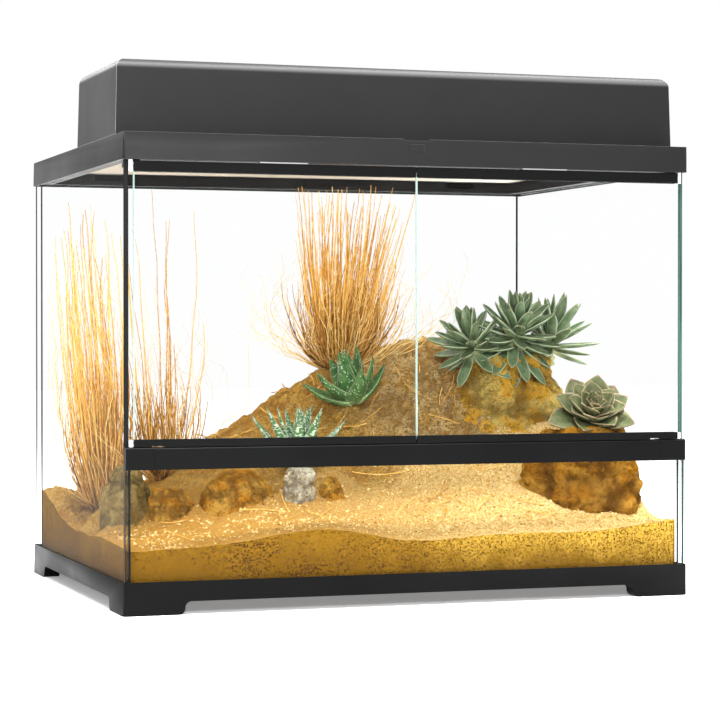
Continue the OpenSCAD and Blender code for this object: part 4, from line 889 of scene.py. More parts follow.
def makeSandBed():
    nx, ny = bed["columns"], bed["rows"]
    reachX = bed["innerX"] - bed["gap"]
    y0, y1 = bed["frontY"] + bed["gap"], bed["frontY"] + bed["depth"] - bed["gap"]
    y = np.linspace(y0, y1, ny + 1)[:, None] * np.ones((1, nx + 1))
    cut = np.maximum(0, bed["cornerCut"] - np.minimum(y - y0, y1 - y))
    x = np.linspace(-1, 1, nx + 1)[None, :] * (reachX - cut)
    x, y = x.ravel(), y.ravel()
    height = groundHeight(x, y)
    flat = np.stack([x, y, np.zeros_like(x)], 1)
    # where the hill is rock, where it looks like bark, and where clods lie in the left corner
    wander = layeredNoise(flat, 60, 3, 5) * bed["wander"]
    rocky = softStep(height + wander, 86, 112) * softStep(-x + wander, -70, 10)
    barky = softStep(height + wander, 112, 140) * softStep(x + wander, -30, 45)
    barky = barky * softStep(170 - x + wander, 0, 40)
    clods = softStep(-x, 205, 262) * softStep(y, -150, -60)
    stony = np.maximum.reduce([rocky, barky, clods])
    folds = -layeredNoise(flat, 48, 4, 21, ridged=True)
    lumps = -layeredNoise(flat, 15, 3, 33, ridged=True)
    grains = layeredNoise(flat, 5.5, 2, 47)
    away = np.minimum.reduce([x + reachX, reachX - x, y - y0, y1 - y])
    calm = softStep(away, 0, bed["calmBand"])
    rise = stony * (bed["stonyFolds"] * folds + bed["stonyLumps"] * lumps) \
        + (1 - stony) * (bed["sandFolds"] * folds + bed["sandLumps"] * lumps) + bed["grains"] * grains
    for node in rocks:
        low, high = (np.array(corner)[:2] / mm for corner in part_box(node))
        half = (high - low) / 2
        reach = np.hypot((x - (low + high)[0] / 2) / half[0], (y - (low + high)[1] / 2) / half[1])
        rise = rise + bed["bank"] * np.exp(-((reach - bed["bankAt"]) / bed["bankWidth"]) ** 2)
    rise = rise + clods * (bed["clodRise"] + bed["clodLumps"] * layeredNoise(flat, 24, 3, 91))
    rocky = np.maximum(rocky, bed["clodRock"] * clods)
    height = np.maximum(height + rise * (bed["calmest"] + (1 - bed["calmest"]) * calm), bed["lowest"])
    hollow = hollowness(folds, lumps, bed["foldShare"])
    top = np.stack([x, y, height + bed["floorZ"]], 1)
    across = nx + 1
    rim = list(range(0, nx)) + [r * across + nx for r in range(ny)] \
        + [ny * across + c for c in range(nx, 0, -1)] + [r * across for r in range(ny, 0, -1)]
    foot = top[rim].copy()
    foot[:, 2] = bed["floorZ"] + 0.05
    starts = (a for r in range(ny) for a in range(r * across, r * across + nx))
    faces = [(a, a + 1, a + across + 1, a + across) for a in starts]
    topCount, base, count = len(faces), len(top), len(rim)
    faces += [(base + k, base + (k + 1) % count, rim[(k + 1) % count], rim[k]) for k in range(count)]
    faces.append(tuple(base + k for k in reversed(range(count))))
    sideCount = len(faces) - topCount
    mesh = newMesh("sandBed", np.concatenate([top, foot]) * mm, faces, "drySand", "packedSand")
    mesh.polygons.foreach_set("material_index", [0] * topCount + [1] * sideCount)
    mesh.polygons.foreach_set("use_smooth", [True] * topCount + [False] * sideCount)
    spare = np.zeros(len(foot))
    for name, values in (("rocky", rocky), ("barky", barky), ("hollow", hollow)):
        setAttribute(mesh, name, np.concatenate([values, spare]))
    piece = addObject("sandBed", mesh)
    finishPiece(piece, "substrate", "sand")
    return piece


sandBed = makeSandBed()
print("sand bed made:", len(sandBed.data.polygons), "faces")


# the CAD stones remeshed, folded and weathered

roomCorner = np.array([296.9, 221.4, 460.0])
weathering = {"smoothing": 0.5, "passes": 12, "pitting": 0.35, "foldShare": 0.65, "easing": 5.0}


def easedInside(points, low, high, band):
    # keeps points inside a box, easing them over the last stretch so that no flat face appears
    over = np.maximum(points - (high - band), 0)
    under = np.maximum((low + band) - points, 0)
    return points - over + band * (1 - np.exp(-over / band)) + under - band * (1 - np.exp(-under / band))


def makeRock(node, look):
    piece = mergedCopy(camel(node), node, look["finish"])
    remesh = piece.modifiers.new("even", "REMESH")
    remesh.mode = "VOXEL"
    remesh.voxel_size = look["cell"] * mm
    even = piece.modifiers.new("round", "SMOOTH")
    even.factor = weathering["smoothing"]
    even.iterations = weathering["passes"]
    mesh = applyModifiers(piece).data
    points, normals = readVertices(mesh) / mm, readVertices(mesh, "normal")
    folds = -layeredNoise(points, look["foldSize"], 3, look["seed"], ridged=True)
    rough = -layeredNoise(points, look["foldSize"] / 4, 3, look["seed"] + 5, ridged=True)
    pitted = layeredNoise(points, look["foldSize"] / 12, 1, look["seed"] + 9)
    rise = look["swell"] + look["fold"] * folds + look["rough"] * (rough + weathering["pitting"] * pitted)
    points = points + normals * rise[:, None]
    low, high = (np.array(corner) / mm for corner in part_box(node))
    low, high = np.maximum(low - look["swell"], -roomCorner), np.minimum(high + look["swell"], roomCorner)
    mesh.vertices.foreach_set("co", (easedInside(points, low, high, weathering["easing"]) * mm).ravel())
    mesh.update()
    setAttribute(mesh, "hollow", hollowness(folds, rough, weathering["foldShare"]))
    smooth(mesh)
    keepOneFinish(mesh, materials[look["finish"]])
    finishPiece(piece, node, look["slot"])


for node, look in rocks.items():
    makeRock(node, look)
print("rocks made:", len(rocks))


# geometry node trees for what repeats

def newTree(name, **inputs):
    # inputs are listed by their kind
    tree = bpy.data.node_groups.new(name, "GeometryNodeTree")
    tree.interface.new_socket("Geometry", in_out="INPUT", socket_type="NodeSocketGeometry")
    for kind, labels in inputs.items():
        for label in labels.split(", "):
            tree.interface.new_socket(label, in_out="INPUT", socket_type="NodeSocket" + kind)
    tree.interface.new_socket("Geometry", in_out="OUTPUT", socket_type="NodeSocketGeometry")
    return Graph(tree).withEnds()


def grow(name, tree, values, mesh=None):
    # runs a tree and keeps its result as a plain mesh
    piece = addObject(name, mesh or bpy.data.meshes.new(name))
    modifier = piece.modifiers.new(name, "NODES")
    modifier.node_group = tree
    for item in tree.interface.items_tree:
        if item.in_out == "INPUT" and item.name in values:
            modifier[item.identifier] = values[item.name]
    keepOneFinish(applyModifiers(piece).data, values["Finish"])
    return piece


def millimetres(*values):
    return [v * mm for v in values]


def buildTuft():
    # stalks that rise from a small foot, spread out and thin towards their tips
    g = newTree("grassTuft", Int="Count, Seed", Material="Finish",
                Vector="Foot, Spread, Lean, Room Low, Room High",
                Float="Foot Radius, Shortest, Tallest, Thickness, Bow, Kink, Kink Scale")
    given = g.given
    points = g.add("GeometryNodePoints", {"Count": given["Count"]})
    line = g.add("GeometryNodeCurvePrimitiveLine", {"Start": (0, 0, 0), "End": (0, 0, 1)})
    line = g.add("GeometryNodeResampleCurve", {"Curve": line, "Count": 17})
    stalks = g.add("GeometryNodeInstanceOnPoints", {"Points": points, "Instance": line})
    turn = g.random(0.0, 2 * math.pi, 1)
    away = g.calc("SQRT", g.random(0.0, 1.0, 2))
    ring = g.joined(g.times(g.calc("COSINE", turn), away), g.times(g.calc("SINE", turn), away))
    tall = g.between(g.calc("POWER", g.random(0.0, 1.0, 3), 0.8), given["Shortest"], given["Tallest"])
    stray = g.joined(g.random(-1.0, 1.0, 4), g.random(-1.0, 1.0, 5))
    tip = g.vector("ADD", g.vector("MULTIPLY", ring, given["Spread"]), given["Lean"])
    tip = g.vector("ADD", tip, g.scaled(stray, g.times(given["Bow"], 2.2)))
    tip = g.vector("ADD", tip, g.joined(z=tall))
    bow = g.vector("ADD", g.scaled(stray, given["Bow"]), g.scaled(ring, g.times(given["Bow"], 0.5)))
    geometry = stalks
    for name, value in (("foot", g.scaled(ring, given["Foot Radius"])), ("tip", tip), ("bow", bow)):
        geometry = g.store(geometry, name, value, "FLOAT_VECTOR")
    geometry = g.store(geometry, "tone", g.random(0.0, 1.0, 6))
    geometry = g.store(geometry, "girth", g.random(0.45, 1.0, 7))
    geometry = g.add("GeometryNodeRealizeInstances", {"Geometry": geometry})
    along = g.part(g.add("GeometryNodeInputPosition"), 2)
    geometry = g.store(geometry, "along", along, domain="POINT")
    foot, tip, bow = (g.stored(name, "FLOAT_VECTOR") for name in ("foot", "tip", "bow"))
    late = g.calc("POWER", along, 1.08)
    middle = g.times(g.times(along, g.minus(1.0, along)), 4.0)
    reach = g.vector("MULTIPLY", g.vector("SUBTRACT", tip, foot), g.joined(late, late, along))
    line = g.vector("ADD", g.vector("ADD", foot, reach), g.scaled(bow, middle))
    wobble = g.noise(g.vector("ADD", line, g.scaled(bow, 90.0)), "Color", Scale=given["Kink Scale"], Detail=1.0)
    shake = g.vector("SUBTRACT", wobble, (0.5, 0.5, 0.5))
    line = g.vector("ADD", line, g.scaled(shake, g.times(given["Kink"], along)))
    line = g.vector("ADD", line, given["Foot"])
    line = g.vector("MINIMUM", g.vector("MAXIMUM", line, given["Room Low"]), given["Room High"])
    geometry = g.add("GeometryNodeSetPosition", {"Geometry": geometry, "Position": line})
    taper = g.minus(1.0, g.times(g.stored("along"), 0.72))
    width = g.times(given["Thickness"], g.times(g.stored("girth"), taper))
    return g.close(g.tube(geometry, 5, width))


tuftTree = buildTuft()
strawRoom = {"low": (-295.0, -216.0, 26.0), "high": (295.0, 216.0, 445.0)}
tufts = {
    "left_grass": dict(foot=(-252, 86), footRadius=19, sunk=5, top=426, spread=(33, 74), lean=(-4, 64),
                       seed=4, layers=[
        dict(finish="dryStraw", count=72, low=150, high=1.0, thick=1.7, kink=34, wave=7, bow=8),
        dict(finish="strawRoot", count=170, low=30, high=0.46, thick=1.1, kink=22, wave=20, bow=9),
        dict(finish="dryStraw", count=80, low=40, high=0.6, thick=1.1, kink=26, wave=14, bow=10),
        dict(finish="strawWisp", count=60, low=60, high=0.9, thick=0.5, kink=80, wave=22, bow=24)]),
    "middle_grass": dict(foot=(-205, 18), footRadius=14, sunk=5, top=440, spread=(46, 46), lean=(-6, 30),
                         seed=8, layers=[
        dict(finish="dryStraw", count=9, low=130, high=1.0, thick=1.6, kink=34, wave=7, bow=10),
        dict(finish="strawRoot", count=150, low=25, high=0.34, thick=1.1, kink=22, wave=20, bow=9),
        dict(finish="dryStraw", count=46, low=30, high=0.5, thick=1.1, kink=26, wave=14, bow=10),
        dict(finish="strawWisp", count=40, low=50, high=0.62, thick=0.5, kink=84, wave=22, bow=26)]),
    "centre_grass": dict(foot=(17, 66), footRadius=21, sunk=16, top=444, spread=(70, 50), lean=(16, 0),
                         seed=21, layers=[
        dict(finish="dryStraw", count=120, low=120, high=1.0, thick=1.6, kink=26, wave=7, bow=6),
        dict(finish="strawRoot", count=260, low=40, high=0.5, thick=1.1, kink=22, wave=20, bow=9),
        dict(finish="dryStraw", count=130, low=60, high=0.7, thick=1.1, kink=26, wave=14, bow=9),
        dict(finish="strawWisp", count=170, low=40, high=0.66, thick=0.55, kink=90, wave=24, bow=30)]),
}


def joinPieces(name, pieces):
    # one mesh from several, each keeping its own finish
    finishes, work = [], bmesh.new()
    for piece in pieces:
        finish = piece.data.materials[0]
        if finish not in finishes:
            finishes.append(finish)
        piece.data.polygons.foreach_set("material_index", [finishes.index(finish)] * len(piece.data.polygons))
        work.from_mesh(piece.data)
    mesh = bpy.data.meshes.new(name)
    work.to_mesh(mesh)
    work.free()
    for finish in finishes:
        mesh.materials.append(finish)
    for piece in pieces:
        bpy.data.objects.remove(piece)
    smooth(mesh)
    return addObject(name, mesh)


def makeTuft(node, look):
    x, y = look["foot"]
    foot = topOfBed(x, y) - look["sunk"]
    grown = []
    for k, layer in enumerate(look["layers"]):
        share = layer["high"]
        grown.append(grow(camel(node) + str(k), tuftTree, {
            "Count": layer["count"], "Foot": millimetres(x, y, foot), "Foot Radius": look["footRadius"] * mm,
            "Shortest": layer["low"] * mm, "Tallest": (look["top"] - foot) * share * mm,
            "Spread": [s * mm * (0.6 + 0.4 * share) for s in look["spread"]] + [0.0],
            "Lean": [s * mm * share for s in look["lean"]] + [0.0],
            "Thickness": layer["thick"] * mm, "Bow": layer["bow"] * mm,
            "Kink": layer["kink"] * mm, "Kink Scale": float(layer["wave"]), "Seed": look["seed"] + 31 * k,
            "Room Low": millimetres(*strawRoom["low"]), "Room High": millimetres(*strawRoom["high"]),
            "Finish": materials[layer["finish"]]}))
    finishPiece(joinPieces(camel(node), grown), node, "dry_grass")


for node, look in tufts.items():
    makeTuft(node, look)
print("grass tufts made:", len(tufts))


leafShape = {"steps": 16, "sides": 6, "finest": 0.015, "above": 0.25, "below": -0.75,
             "taper": 0.45, "least": 0.25}


def leafHalf(look, t):
    # half the width of a leaf at t, from 0 at its foot to 1 at its point
    widest = look["widest"]
    if t < widest:
        half = look["foot"] + (1 - look["foot"]) * math.sin(t / widest * math.pi / 2)
    else:
        half = max(1 - ((t - widest) / (1 - widest)) ** look["point"], 0.0)
    return max(half, leafShape["finest"]) * look["width"] / 2


def leafMesh(name, look):
    # one fleshy leaf along +X from the middle of its rosette, a little cupped, ending in a point
    steps, sides = leafShape["steps"], leafShape["sides"]
    rings, vertices, faces, along, across = [], [], [], [], []
    x, z, rise = look["start"], 0.0, 0.0
    ridge = [(2 * k / sides - 1, leafShape["above"]) for k in range(sides + 1)]
    keel = [(2 * k / sides - 1, leafShape["below"]) for k in range(sides - 1, 0, -1)]
    for i in range(steps + 1):
        t = i / steps
        half = leafHalf(look, t)
        thick = look["thick"] * (1 - t) ** leafShape["taper"] * (0.75 + 0.25 * math.sin(math.pi * t))
        thick = min(thick + leafShape["least"], half * 1.5)
        ring = []
        for s, share in ridge + keel:
            bulge = math.sqrt(max(1 - s * s, 0.0))
            height = look["cup"] * half * s * s + bulge * thick * share
            ring.append(millimetres(x - height * math.sin(rise), s * half, z + height * math.cos(rise)))
            along.append(t)
            across.append(s)
        rings.append(ring)
        step = look["length"] / steps
        x += step * math.cos(rise)
        z += step * math.sin(rise)
        rise += math.radians(look["curl"]) / steps
    skin(rings, vertices, faces)
    mesh = newMesh(name, vertices, faces)
    faceOutward(mesh)
    setAttribute(mesh, "along", along)
    setAttribute(mesh, "across", across)
    smooth(mesh)
    return mesh


def buildRosette():
    # copies of one leaf in a golden-angle spiral, outer leaves low and long, inner ones upright and small
    g = newTree("rosette", Int="Count, Seed", Vector="Centre, Tilt", Material="Finish",
                Float="Outer Rise, Inner Rise, Inner Size, Height, Curve, Jitter, Turn")
    given = g.given
    points = g.add("GeometryNodePoints", {"Count": given["Count"]})
    index = g.add("GeometryNodeInputIndex")
    t = g.calc("DIVIDE", index, g.minus(given["Count"], 1.0))
    rise = g.between(g.calc("POWER", t, given["Curve"]), given["Outer Rise"], given["Inner Rise"])
    rise = g.plus(rise, g.times(g.random(-1.0, 1.0, 1), given["Jitter"]))
    turn = g.plus(g.times(index, math.radians(137.508)), given["Turn"])
    turn = g.plus(turn, g.times(g.random(-1.0, 1.0, 2), given["Jitter"]))
    size = g.times(g.between(t, 1.0, given["Inner Size"]), g.random(0.9, 1.06, 3))
    place = g.joined(z=g.times(t, given["Height"]))
    moved = g.add("GeometryNodeSetPosition", {"Geometry": points, "Position": place})
    spin = g.add("FunctionNodeEulerToRotation", {0: g.joined(0.0, g.times(rise, -1.0), turn)})
    leaves = g.add("GeometryNodeInstanceOnPoints", {
        "Points": moved, "Instance": given["Geometry"], "Rotation": spin, "Scale": g.joined(size, size, size)})
    lean = g.add("FunctionNodeEulerToRotation", {0: given["Tilt"]})
    stood = g.add("GeometryNodeTransform", {
        "Geometry": leaves, "Translation": given["Centre"], "Rotation": lean})
    return g.close(stood)


rosetteTree = buildRosette()
plants = {
    "agave_cluster": dict(name="agaves", slot="agave_leaf", finish="agaveLeaf", rosettes=[
        dict(at=(146, -16, 257), stem=232, tilt=(20, -22), count=40, outer=-34, inner=84, size=0.75, height=14,
             bend=0.95, jitter=9, turn=20, seed=5,
             leaf=dict(length=52, width=14, thick=6.5, start=4, widest=0.55, point=3.0, foot=0.6,
                       cup=0.3, curl=14)),
        dict(at=(190, -26, 265), stem=236, tilt=(26, 4), count=58, outer=-58, inner=84, size=0.72, height=20,
             bend=1.0, jitter=8, turn=70, seed=9,
             leaf=dict(length=56, width=15.5, thick=7.0, start=5, widest=0.55, point=3.2, foot=0.6,
                       cup=0.3, curl=10)),
        dict(at=(242, -6, 260), stem=240, tilt=(8, 14), count=28, outer=-20, inner=86, size=0.76, height=14,
             bend=0.85, jitter=8, turn=110, seed=14,
             leaf=dict(length=62, width=14.5, thick=6.0, start=4, widest=0.5, point=2.8, foot=0.6,
                       cup=0.3, curl=8))]),
    "echeveria": dict(name="echeveriaPlant", slot="rosette_leaf", finish="rosetteLeaf", rosettes=[
        dict(at=(231, -146, 182), stem=165, tilt=(40, -8), count=32, outer=6, inner=78, size=0.34, height=12,
             bend=0.8, jitter=5, turn=40, seed=3,
             leaf=dict(length=55, width=38, thick=7.0, start=2, widest=0.6, point=1.6, foot=0.42,
                       cup=0.36, curl=8))]),
    "banded_aloe": dict(name="bandedAloe", slot="banded_leaf", finish="bandedLeaf", rosettes=[
        dict(at=(-82, -86), tilt=(0, 0), count=13, outer=44, inner=84, size=0.8, height=6,
             bend=1.0, jitter=6, turn=10, seed=7,
             leaf=dict(length=80, width=27, thick=7, start=2, widest=0.12, point=1.15, foot=0.8,
                       cup=0.25, curl=6))]),
    "green_aloe": dict(name="greenAloe", slot="dark_leaf", finish="spottedLeaf", rosettes=[
        dict(at=(4, -19), tilt=(6, -16), count=13, outer=10, inner=80, size=0.85, height=8,
             bend=0.9, jitter=9, turn=0, seed=12,
             leaf=dict(length=62, width=30, thick=7, start=2, widest=0.22, point=1.4, foot=0.8,
                       cup=0.3, curl=44))]),
}
aboveSand = 2
stem = {"rows": 9, "sides": 14, "radius": 6.5, "rings": 1.2, "ribs": 0.9}


def makeStem(name, at, foot, finish):
    # short ringed stem that carries a rosette on its rock
    x, y, top = at
    rows, sides = stem["rows"], stem["sides"]
    rings, vertices, faces = [], [], []
    for i in range(rows):
        ring = []
        for k in range(sides):
            turn = 2 * math.pi * k / sides
            radius = stem["radius"] + stem["rings"] * math.sin(i * 2.1) + stem["ribs"] * math.sin(3 * turn + i)
            height = foot + (top - foot) * i / (rows - 1)
            ring.append(millimetres(x + radius * math.cos(turn), y + radius * math.sin(turn), height))
        rings.append(ring)
    skin(rings, vertices, faces)
    mesh = newMesh(name, vertices, faces, finish)
    setAttribute(mesh, "along", [0.05] * len(vertices))
    setAttribute(mesh, "across", [0.0] * len(vertices))
    return addObject(name, mesh)


def makePlant(node, look):
    grown = []
    for k, rosette in enumerate(look["rosettes"]):
        x, y, *z = rosette["at"]
        centre = (x, y, z[0] if z else topOfBed(x, y) + aboveSand)
        leaf = leafMesh(look["name"] + "Leaf", rosette["leaf"])
        grown.append(grow(look["name"] + str(k), rosetteTree, {
            "Count": rosette["count"], "Centre": millimetres(*centre),
            "Outer Rise": math.radians(rosette["outer"]), "Inner Rise": math.radians(rosette["inner"]),
            "Inner Size": rosette["size"],
            "Height": rosette["height"] * mm, "Curve": rosette["bend"],
            "Jitter": math.radians(rosette["jitter"]), "Turn": math.radians(rosette["turn"]),
            "Tilt": [math.radians(a) for a in rosette["tilt"]] + [0.0],
            "Seed": rosette["seed"], "Finish": materials[look["finish"]]}, leaf))
        if "stem" in rosette:
            grown.append(makeStem(look["name"] + "Stem" + str(k), centre, rosette["stem"], look["finish"]))
    finishPiece(joinPieces(look["name"], grown), node, look["slot"])


for node, look in plants.items():
    makePlant(node, look)
print("succulents made:", len(plants))


# screen of welded wire

screen = {"pitch": 4.0, "wire": 0.34, "overlap": 0.06}


def buildScreen():
    g = newTree("wireScreen", Vector="Centre", Float="Width, Depth, Wire, Lap", Int="Across, Down",
                Material="Finish")
    given = g.given
    both = g.node("GeometryNodeJoinGeometry")
    layers = (("Across", "Width", "Depth", "x", "y", 1.0), ("Down", "Depth", "Width", "y", "x", -1.0))
    for count, span, length, axis, way, sign in layers:
        half = g.times(given[length], 0.5)
        back = g.times(half, -1.0)
        ends = {"Start": g.joined(**{way: back}), "End": g.joined(**{way: half})}
        wire = g.add("GeometryNodeCurvePrimitiveLine", ends)
        step = g.calc("DIVIDE", given[span], g.minus(given[count], 1.0))
        lift = g.times(g.minus(given["Wire"], given["Lap"]), sign)
        first = g.joined(**{axis: g.times(given[span], -0.5), "z": lift})
        row = g.add("GeometryNodeMeshLine", {
            "Count": given[count], "Start Location": g.vector("ADD", given["Centre"], first),
            "Offset": g.joined(**{axis: step})})
        wires = {"Points": row, "Instance": g.tube(wire, 6, given["Wire"])}
        g.feed(both.inputs[0], g.add("GeometryNodeInstanceOnPoints", wires))
    return g.close(both.outputs[0])


def makeScreen():
    low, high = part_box("screen_mesh")
    width, depth = high.x - low.x - 2 * screen["wire"] * mm, high.y - low.y - 2 * screen["wire"] * mm
    pitch = screen["pitch"] * mm
    piece = grow("wireScreen", buildScreen(), {
        "Centre": tuple((low + high) / 2), "Width": width, "Depth": depth,
        "Across": round(width / pitch) + 1, "Down": round(depth / pitch) + 1,
        "Wire": screen["wire"] * mm, "Lap": screen["overlap"] * mm, "Finish": materials["meshWire"]})
    smooth(piece.data)
    finishPiece(piece, "screen_mesh", "mesh_wire")
    print("screen made:", len(piece.data.polygons), "faces")


makeScreen()


# gravel and broken straws, strewn on copies of the sand bed

fullTurn = 6.28


def buildGravel():
    g = newTree("gravel", Float="Density, Largest", Int="Seed", Material="Finish")
    given = g.given
    density = g.times(g.stored("amount"), given["Density"])
    spread = g.add("GeometryNodeDistributePointsOnFaces", {
        "Mesh": given["Geometry"], "Density": density, "Seed": given["Seed"]})
    grain = g.add("GeometryNodeMeshIcoSphere", {"Radius": 1.0, "Subdivisions": 1})
    place = g.add("GeometryNodeInputPosition")
    uneven = g.times(g.minus(g.noise(place, Scale=1.3, Detail=1.0), 0.5), 1.6)
    pushed = g.add("GeometryNodeSetPosition", {"Geometry": grain, "Offset": g.scaled(place, uneven)})
    size = g.times(given["Largest"], g.calc("POWER", g.random(0.35, 1.0, 1), 2.0))
    shape = g.joined(size, g.times(size, g.random(0.6, 1.0, 2)), g.times(size, g.random(0.5, 0.8, 3)))
    spin = g.add("FunctionNodeEulerToRotation", {0: g.joined(*(g.random(0.0, fullTurn, k) for k in (4, 5, 6)))})
    stones = g.add("GeometryNodeInstanceOnPoints", {
        "Points": spread, "Instance": pushed, "Rotation": spin, "Scale": shape})
    return g.close(g.store(stones, "tone", g.random(0.0, 1.0, 7)))


def buildStrewn():
    g = newTree("strewnStraw", Float="Density, Longest, Thickness", Int="Seed", Material="Finish")
    given = g.given
    density = g.times(g.stored("amount"), given["Density"])
    spread = g.node("GeometryNodeDistributePointsOnFaces", {
        "Mesh": given["Geometry"], "Density": density, "Seed": given["Seed"]})
    line = g.add("GeometryNodeCurvePrimitiveLine", {"Start": (-0.5, 0, 0), "End": (0.5, 0, 0)})
    line = g.add("GeometryNodeResampleCurve", {"Curve": line, "Count": 9})
    along = g.part(g.add("GeometryNodeInputPosition"), 0)
    curve = g.times(g.times(along, along), 0.28)
    offset = g.joined(0.0, curve, g.times(curve, 0.35))
    bent = g.add("GeometryNodeSetPosition", {"Geometry": line, "Offset": offset})
    straws = g.add("GeometryNodeInstanceOnPoints", {
        "Points": openSocket(spread.outputs, "Points"), "Instance": bent,
        "Rotation": openSocket(spread.outputs, "Rotation")})
    lay = g.add("FunctionNodeEulerToRotation", {0: g.joined(z=g.random(0.0, fullTurn, 1))})
    straws = g.add("GeometryNodeRotateInstances", {"Instances": straws, "Rotation": lay, "Local Space": True})
    size = g.times(given["Longest"], g.random(0.35, 1.0, 2))
    straws = g.add("GeometryNodeScaleInstances", {"Instances": straws, "Scale": g.joined(size, size, size)})
    kept = g.store(straws, "tone", g.random(0.0, 0.8, 3))
    tube = g.tube(g.add("GeometryNodeRealizeInstances", {"Geometry": kept}), 5, given["Thickness"])
    lifted = g.add("GeometryNodeSetPosition", {"Geometry": tube, "Offset": g.joined(z=given["Thickness"])})
    return g.close(g.store(lifted, "along", 0.6, domain="POINT"))


strewn = {
    "gravel": dict(density=90000.0, largest=2.3, seed=3),
    "straw": dict(density=420.0, longest=62.0, thickness=0.6, seed=6),
}


def strew(name, tree, mesh, amount, values):
    setAttribute(mesh, "amount", amount)
    piece = grow(name, tree, values, mesh)
    smooth(piece.data)
    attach(piece, "tank")
    print(name, "made:", len(piece.data.polygons), "faces")


def makeGravel(look):
    # a strip along the front panes, thicker on the right, where the sand is not rock
    mesh = sandBed.data.copy()
    points = readVertices(mesh) / mm
    x, y, z = points.T
    patch = softStep(layeredNoise(points * np.array([1, 1, 0]), 50, 3, 71), -0.1, 0.35)
    front = softStep(y, -214, -206) * softStep(-y, 60, 120) * softStep(290 - np.abs(x), 0, 8)
    band = softStep(x, 20, 70) * softStep(-y, 150, 175)
    rocky = np.zeros(len(mesh.vertices), dtype=np.float32)
    mesh.attributes["rocky"].data.foreach_get("value", rocky)
    amount = front * (0.3 + 0.5 * patch + 0.8 * band) * (1 - rocky) * (z >= bed["floorZ"] + 1)
    strew("gravel", buildGravel(), mesh, amount, {
        "Density": look["density"], "Largest": look["largest"] * mm, "Seed": look["seed"],
        "Finish": materials["looseGravel"]})


def makeStrewn(look):
    # single straws, clear of the panes and the bed's edge
    mesh = sandBed.data.copy()
    x, y, z = (readVertices(mesh) / mm).T
    inside = softStep(255 - np.abs(x), 0, 12) * softStep(y, -200, -188) * softStep(180 - y, 0, 12)
    strew("strewnStraw", buildStrewn(), mesh, inside * (z > bed["floorZ"] + 5), {
        "Density": look["density"], "Longest": look["longest"] * mm, "Thickness": look["thickness"] * mm,
        "Seed": look["seed"], "Finish": materials["dryStraw"]})


makeGravel(strewn["gravel"])
makeStrewn(strewn["straw"])


# bristle screens in the cable inlets

bristles = {"x": 218.0, "y": 212.3, "width": 35.2, "low": 453.7, "high": 461.5, "lean": 0.25,
            "count": 52, "rows": 3, "pitch": 0.45, "thick": 0.72, "seed": 9}


def makeBristles():
    vertices, faces = [], []
    dice = np.random.default_rng(bristles["seed"])
    r = bristles["thick"] / 2
    for side in (-1, 1):
        for column in range(bristles["count"]):
            x = side * bristles["x"] + (column / (bristles["count"] - 1) - 0.5) * bristles["width"]
            for row in range(bristles["rows"]):
                y = bristles["y"] + row * bristles["pitch"]
                lean = dice.uniform(-bristles["lean"], bristles["lean"])
                ends = ((x, bristles["low"]), (x + lean, bristles["high"]))
                skin([[millimetres(px + dx, y + dy, z) for dx, dy in ((-r, -r), (r, -r), (r, r), (-r, r))]
                      for px, z in ends], vertices, faces)
    piece = addObject("inletBristles", newMesh("inletBristles", vertices, faces, "blackPlastic"))
    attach(piece, "tank")
    print("inlet bristles made:", len(faces), "faces")


makeBristles()


# floor, light and camera

studio = {"ambient": 0.55, "floor": (0.86, 0.86, 0.86), "floorLift": 0.26, "farLift": 0.62, "floorReach": 9}
lamps = {
    "topSoftbox": dict(place=(0.1, 0.2, 2.4), target=(0, 0, 0.2), size=(2.0, 1.6), power=50.0),
    "edgeStrip": dict(place=(0.3, -0.5, 2.0), target=(0.1, -0.2, 0.5), size=(2.4, 0.4), power=150.0),
    "leftSoftbox": dict(place=(-2.3, -1.1, 1.0), target=(0, 0, 0.25), size=(1.0, 1.2), power=10.0),
    "frontSoftbox": dict(place=(-0.6, -2.6, 1.15), target=(0, 0, 0.22), size=(0.6, 0.5), power=50.0),
    "backSoftbox": dict(place=(-0.8, 2.2, 1.6), target=(0, 0, 0.3), size=(1.2, 1.0), power=24.0),
}
white = (1, 1, 1)


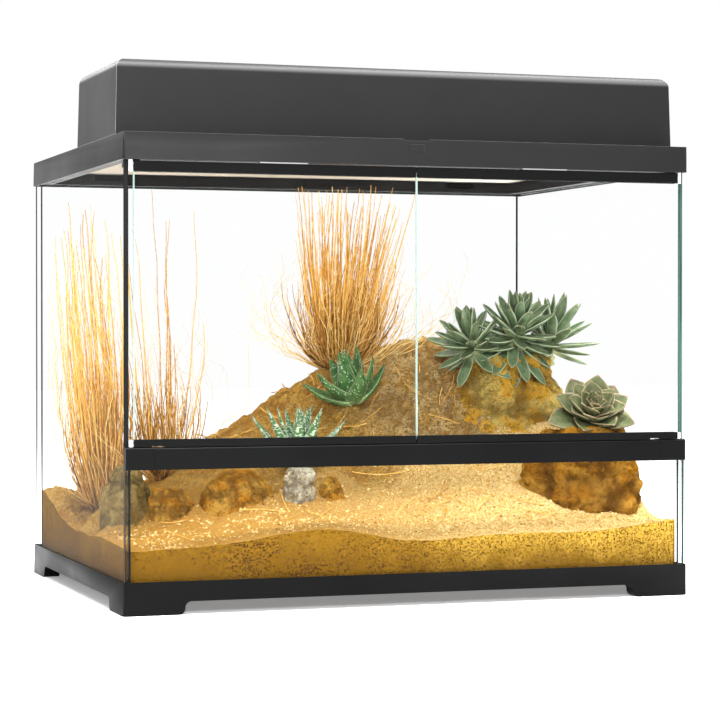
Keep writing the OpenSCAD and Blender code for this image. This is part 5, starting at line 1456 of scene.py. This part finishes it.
def seenDirectly(g):
    # 1 for what the camera sees by itself, through glass or in a reflection
    path = g.node("ShaderNodeLightPath").outputs
    through = g.calc("MAXIMUM", path["Is Glossy Ray"], path["Is Transmission Ray"])
    return g.calc("MAXIMUM", path["Is Camera Ray"], through)


def makeFloor():
    g = newMaterial("studioWhite")
    away = g.add("ShaderNodeVectorMath", {0: g.place}, "Value", operation="LENGTH")
    lift = g.between(away, studio["floorLift"], studio["farLift"], low=0.5, high=1.6)
    g.set(Base_Color=studio["floor"], Roughness=1.0, Specular_IOR_Level=0.0, Emission_Color=white,
          Emission_Strength=g.times(seenDirectly(g), lift))
    far = studio["floorReach"]
    corners = [(-far, -far, 0), (far, -far, 0), (far, far, 0), (-far, far, 0)]
    addObject("studioFloor", newMesh("studioFloor", corners, [(0, 1, 2, 3)], "studioWhite"))


def makeWorld():
    world = bpy.data.worlds.new("studioWorld")
    bpy.context.scene.world = world
    world.use_nodes = True
    g = Graph(world.node_tree)
    back = g.tree.nodes["Background"]
    g.feed(back.inputs["Color"], white)
    g.feed(back.inputs["Strength"], g.between(seenDirectly(g), studio["ambient"], 1.0))


def addLamp(name, look):
    data = bpy.data.lights.new(name, "AREA")
    data.shape = "RECTANGLE"
    data.size, data.size_y = look["size"]
    data.energy = look["power"]
    place = Vector(look["place"])
    turn = (Vector(look["target"]) - place).to_track_quat("-Z", "Y").to_matrix().to_4x4()
    addObject(name, data).matrix_world = Matrix.Translation(place) @ turn


makeFloor()
makeWorld()
for name, look in lamps.items():
    addLamp(name, look)

view = {"place": (-0.82303, -2.46661, 0.27528), "tilt": 89.388, "turn": -18.81,
        "lens": 117.26, "sensor": 36.0, "farthest": 50.0}
cameraData = bpy.data.cameras.new("camera")
cameraData.sensor_width = view["sensor"]
cameraData.lens = view["lens"]
cameraData.clip_end = view["farthest"]
camera = addObject("camera", cameraData)
camera.location = view["place"]
camera.rotation_euler = (math.radians(view["tilt"]), 0.0, math.radians(view["turn"]))
bpy.context.scene.camera = camera
bpy.context.scene.view_settings.view_transform = "Standard"
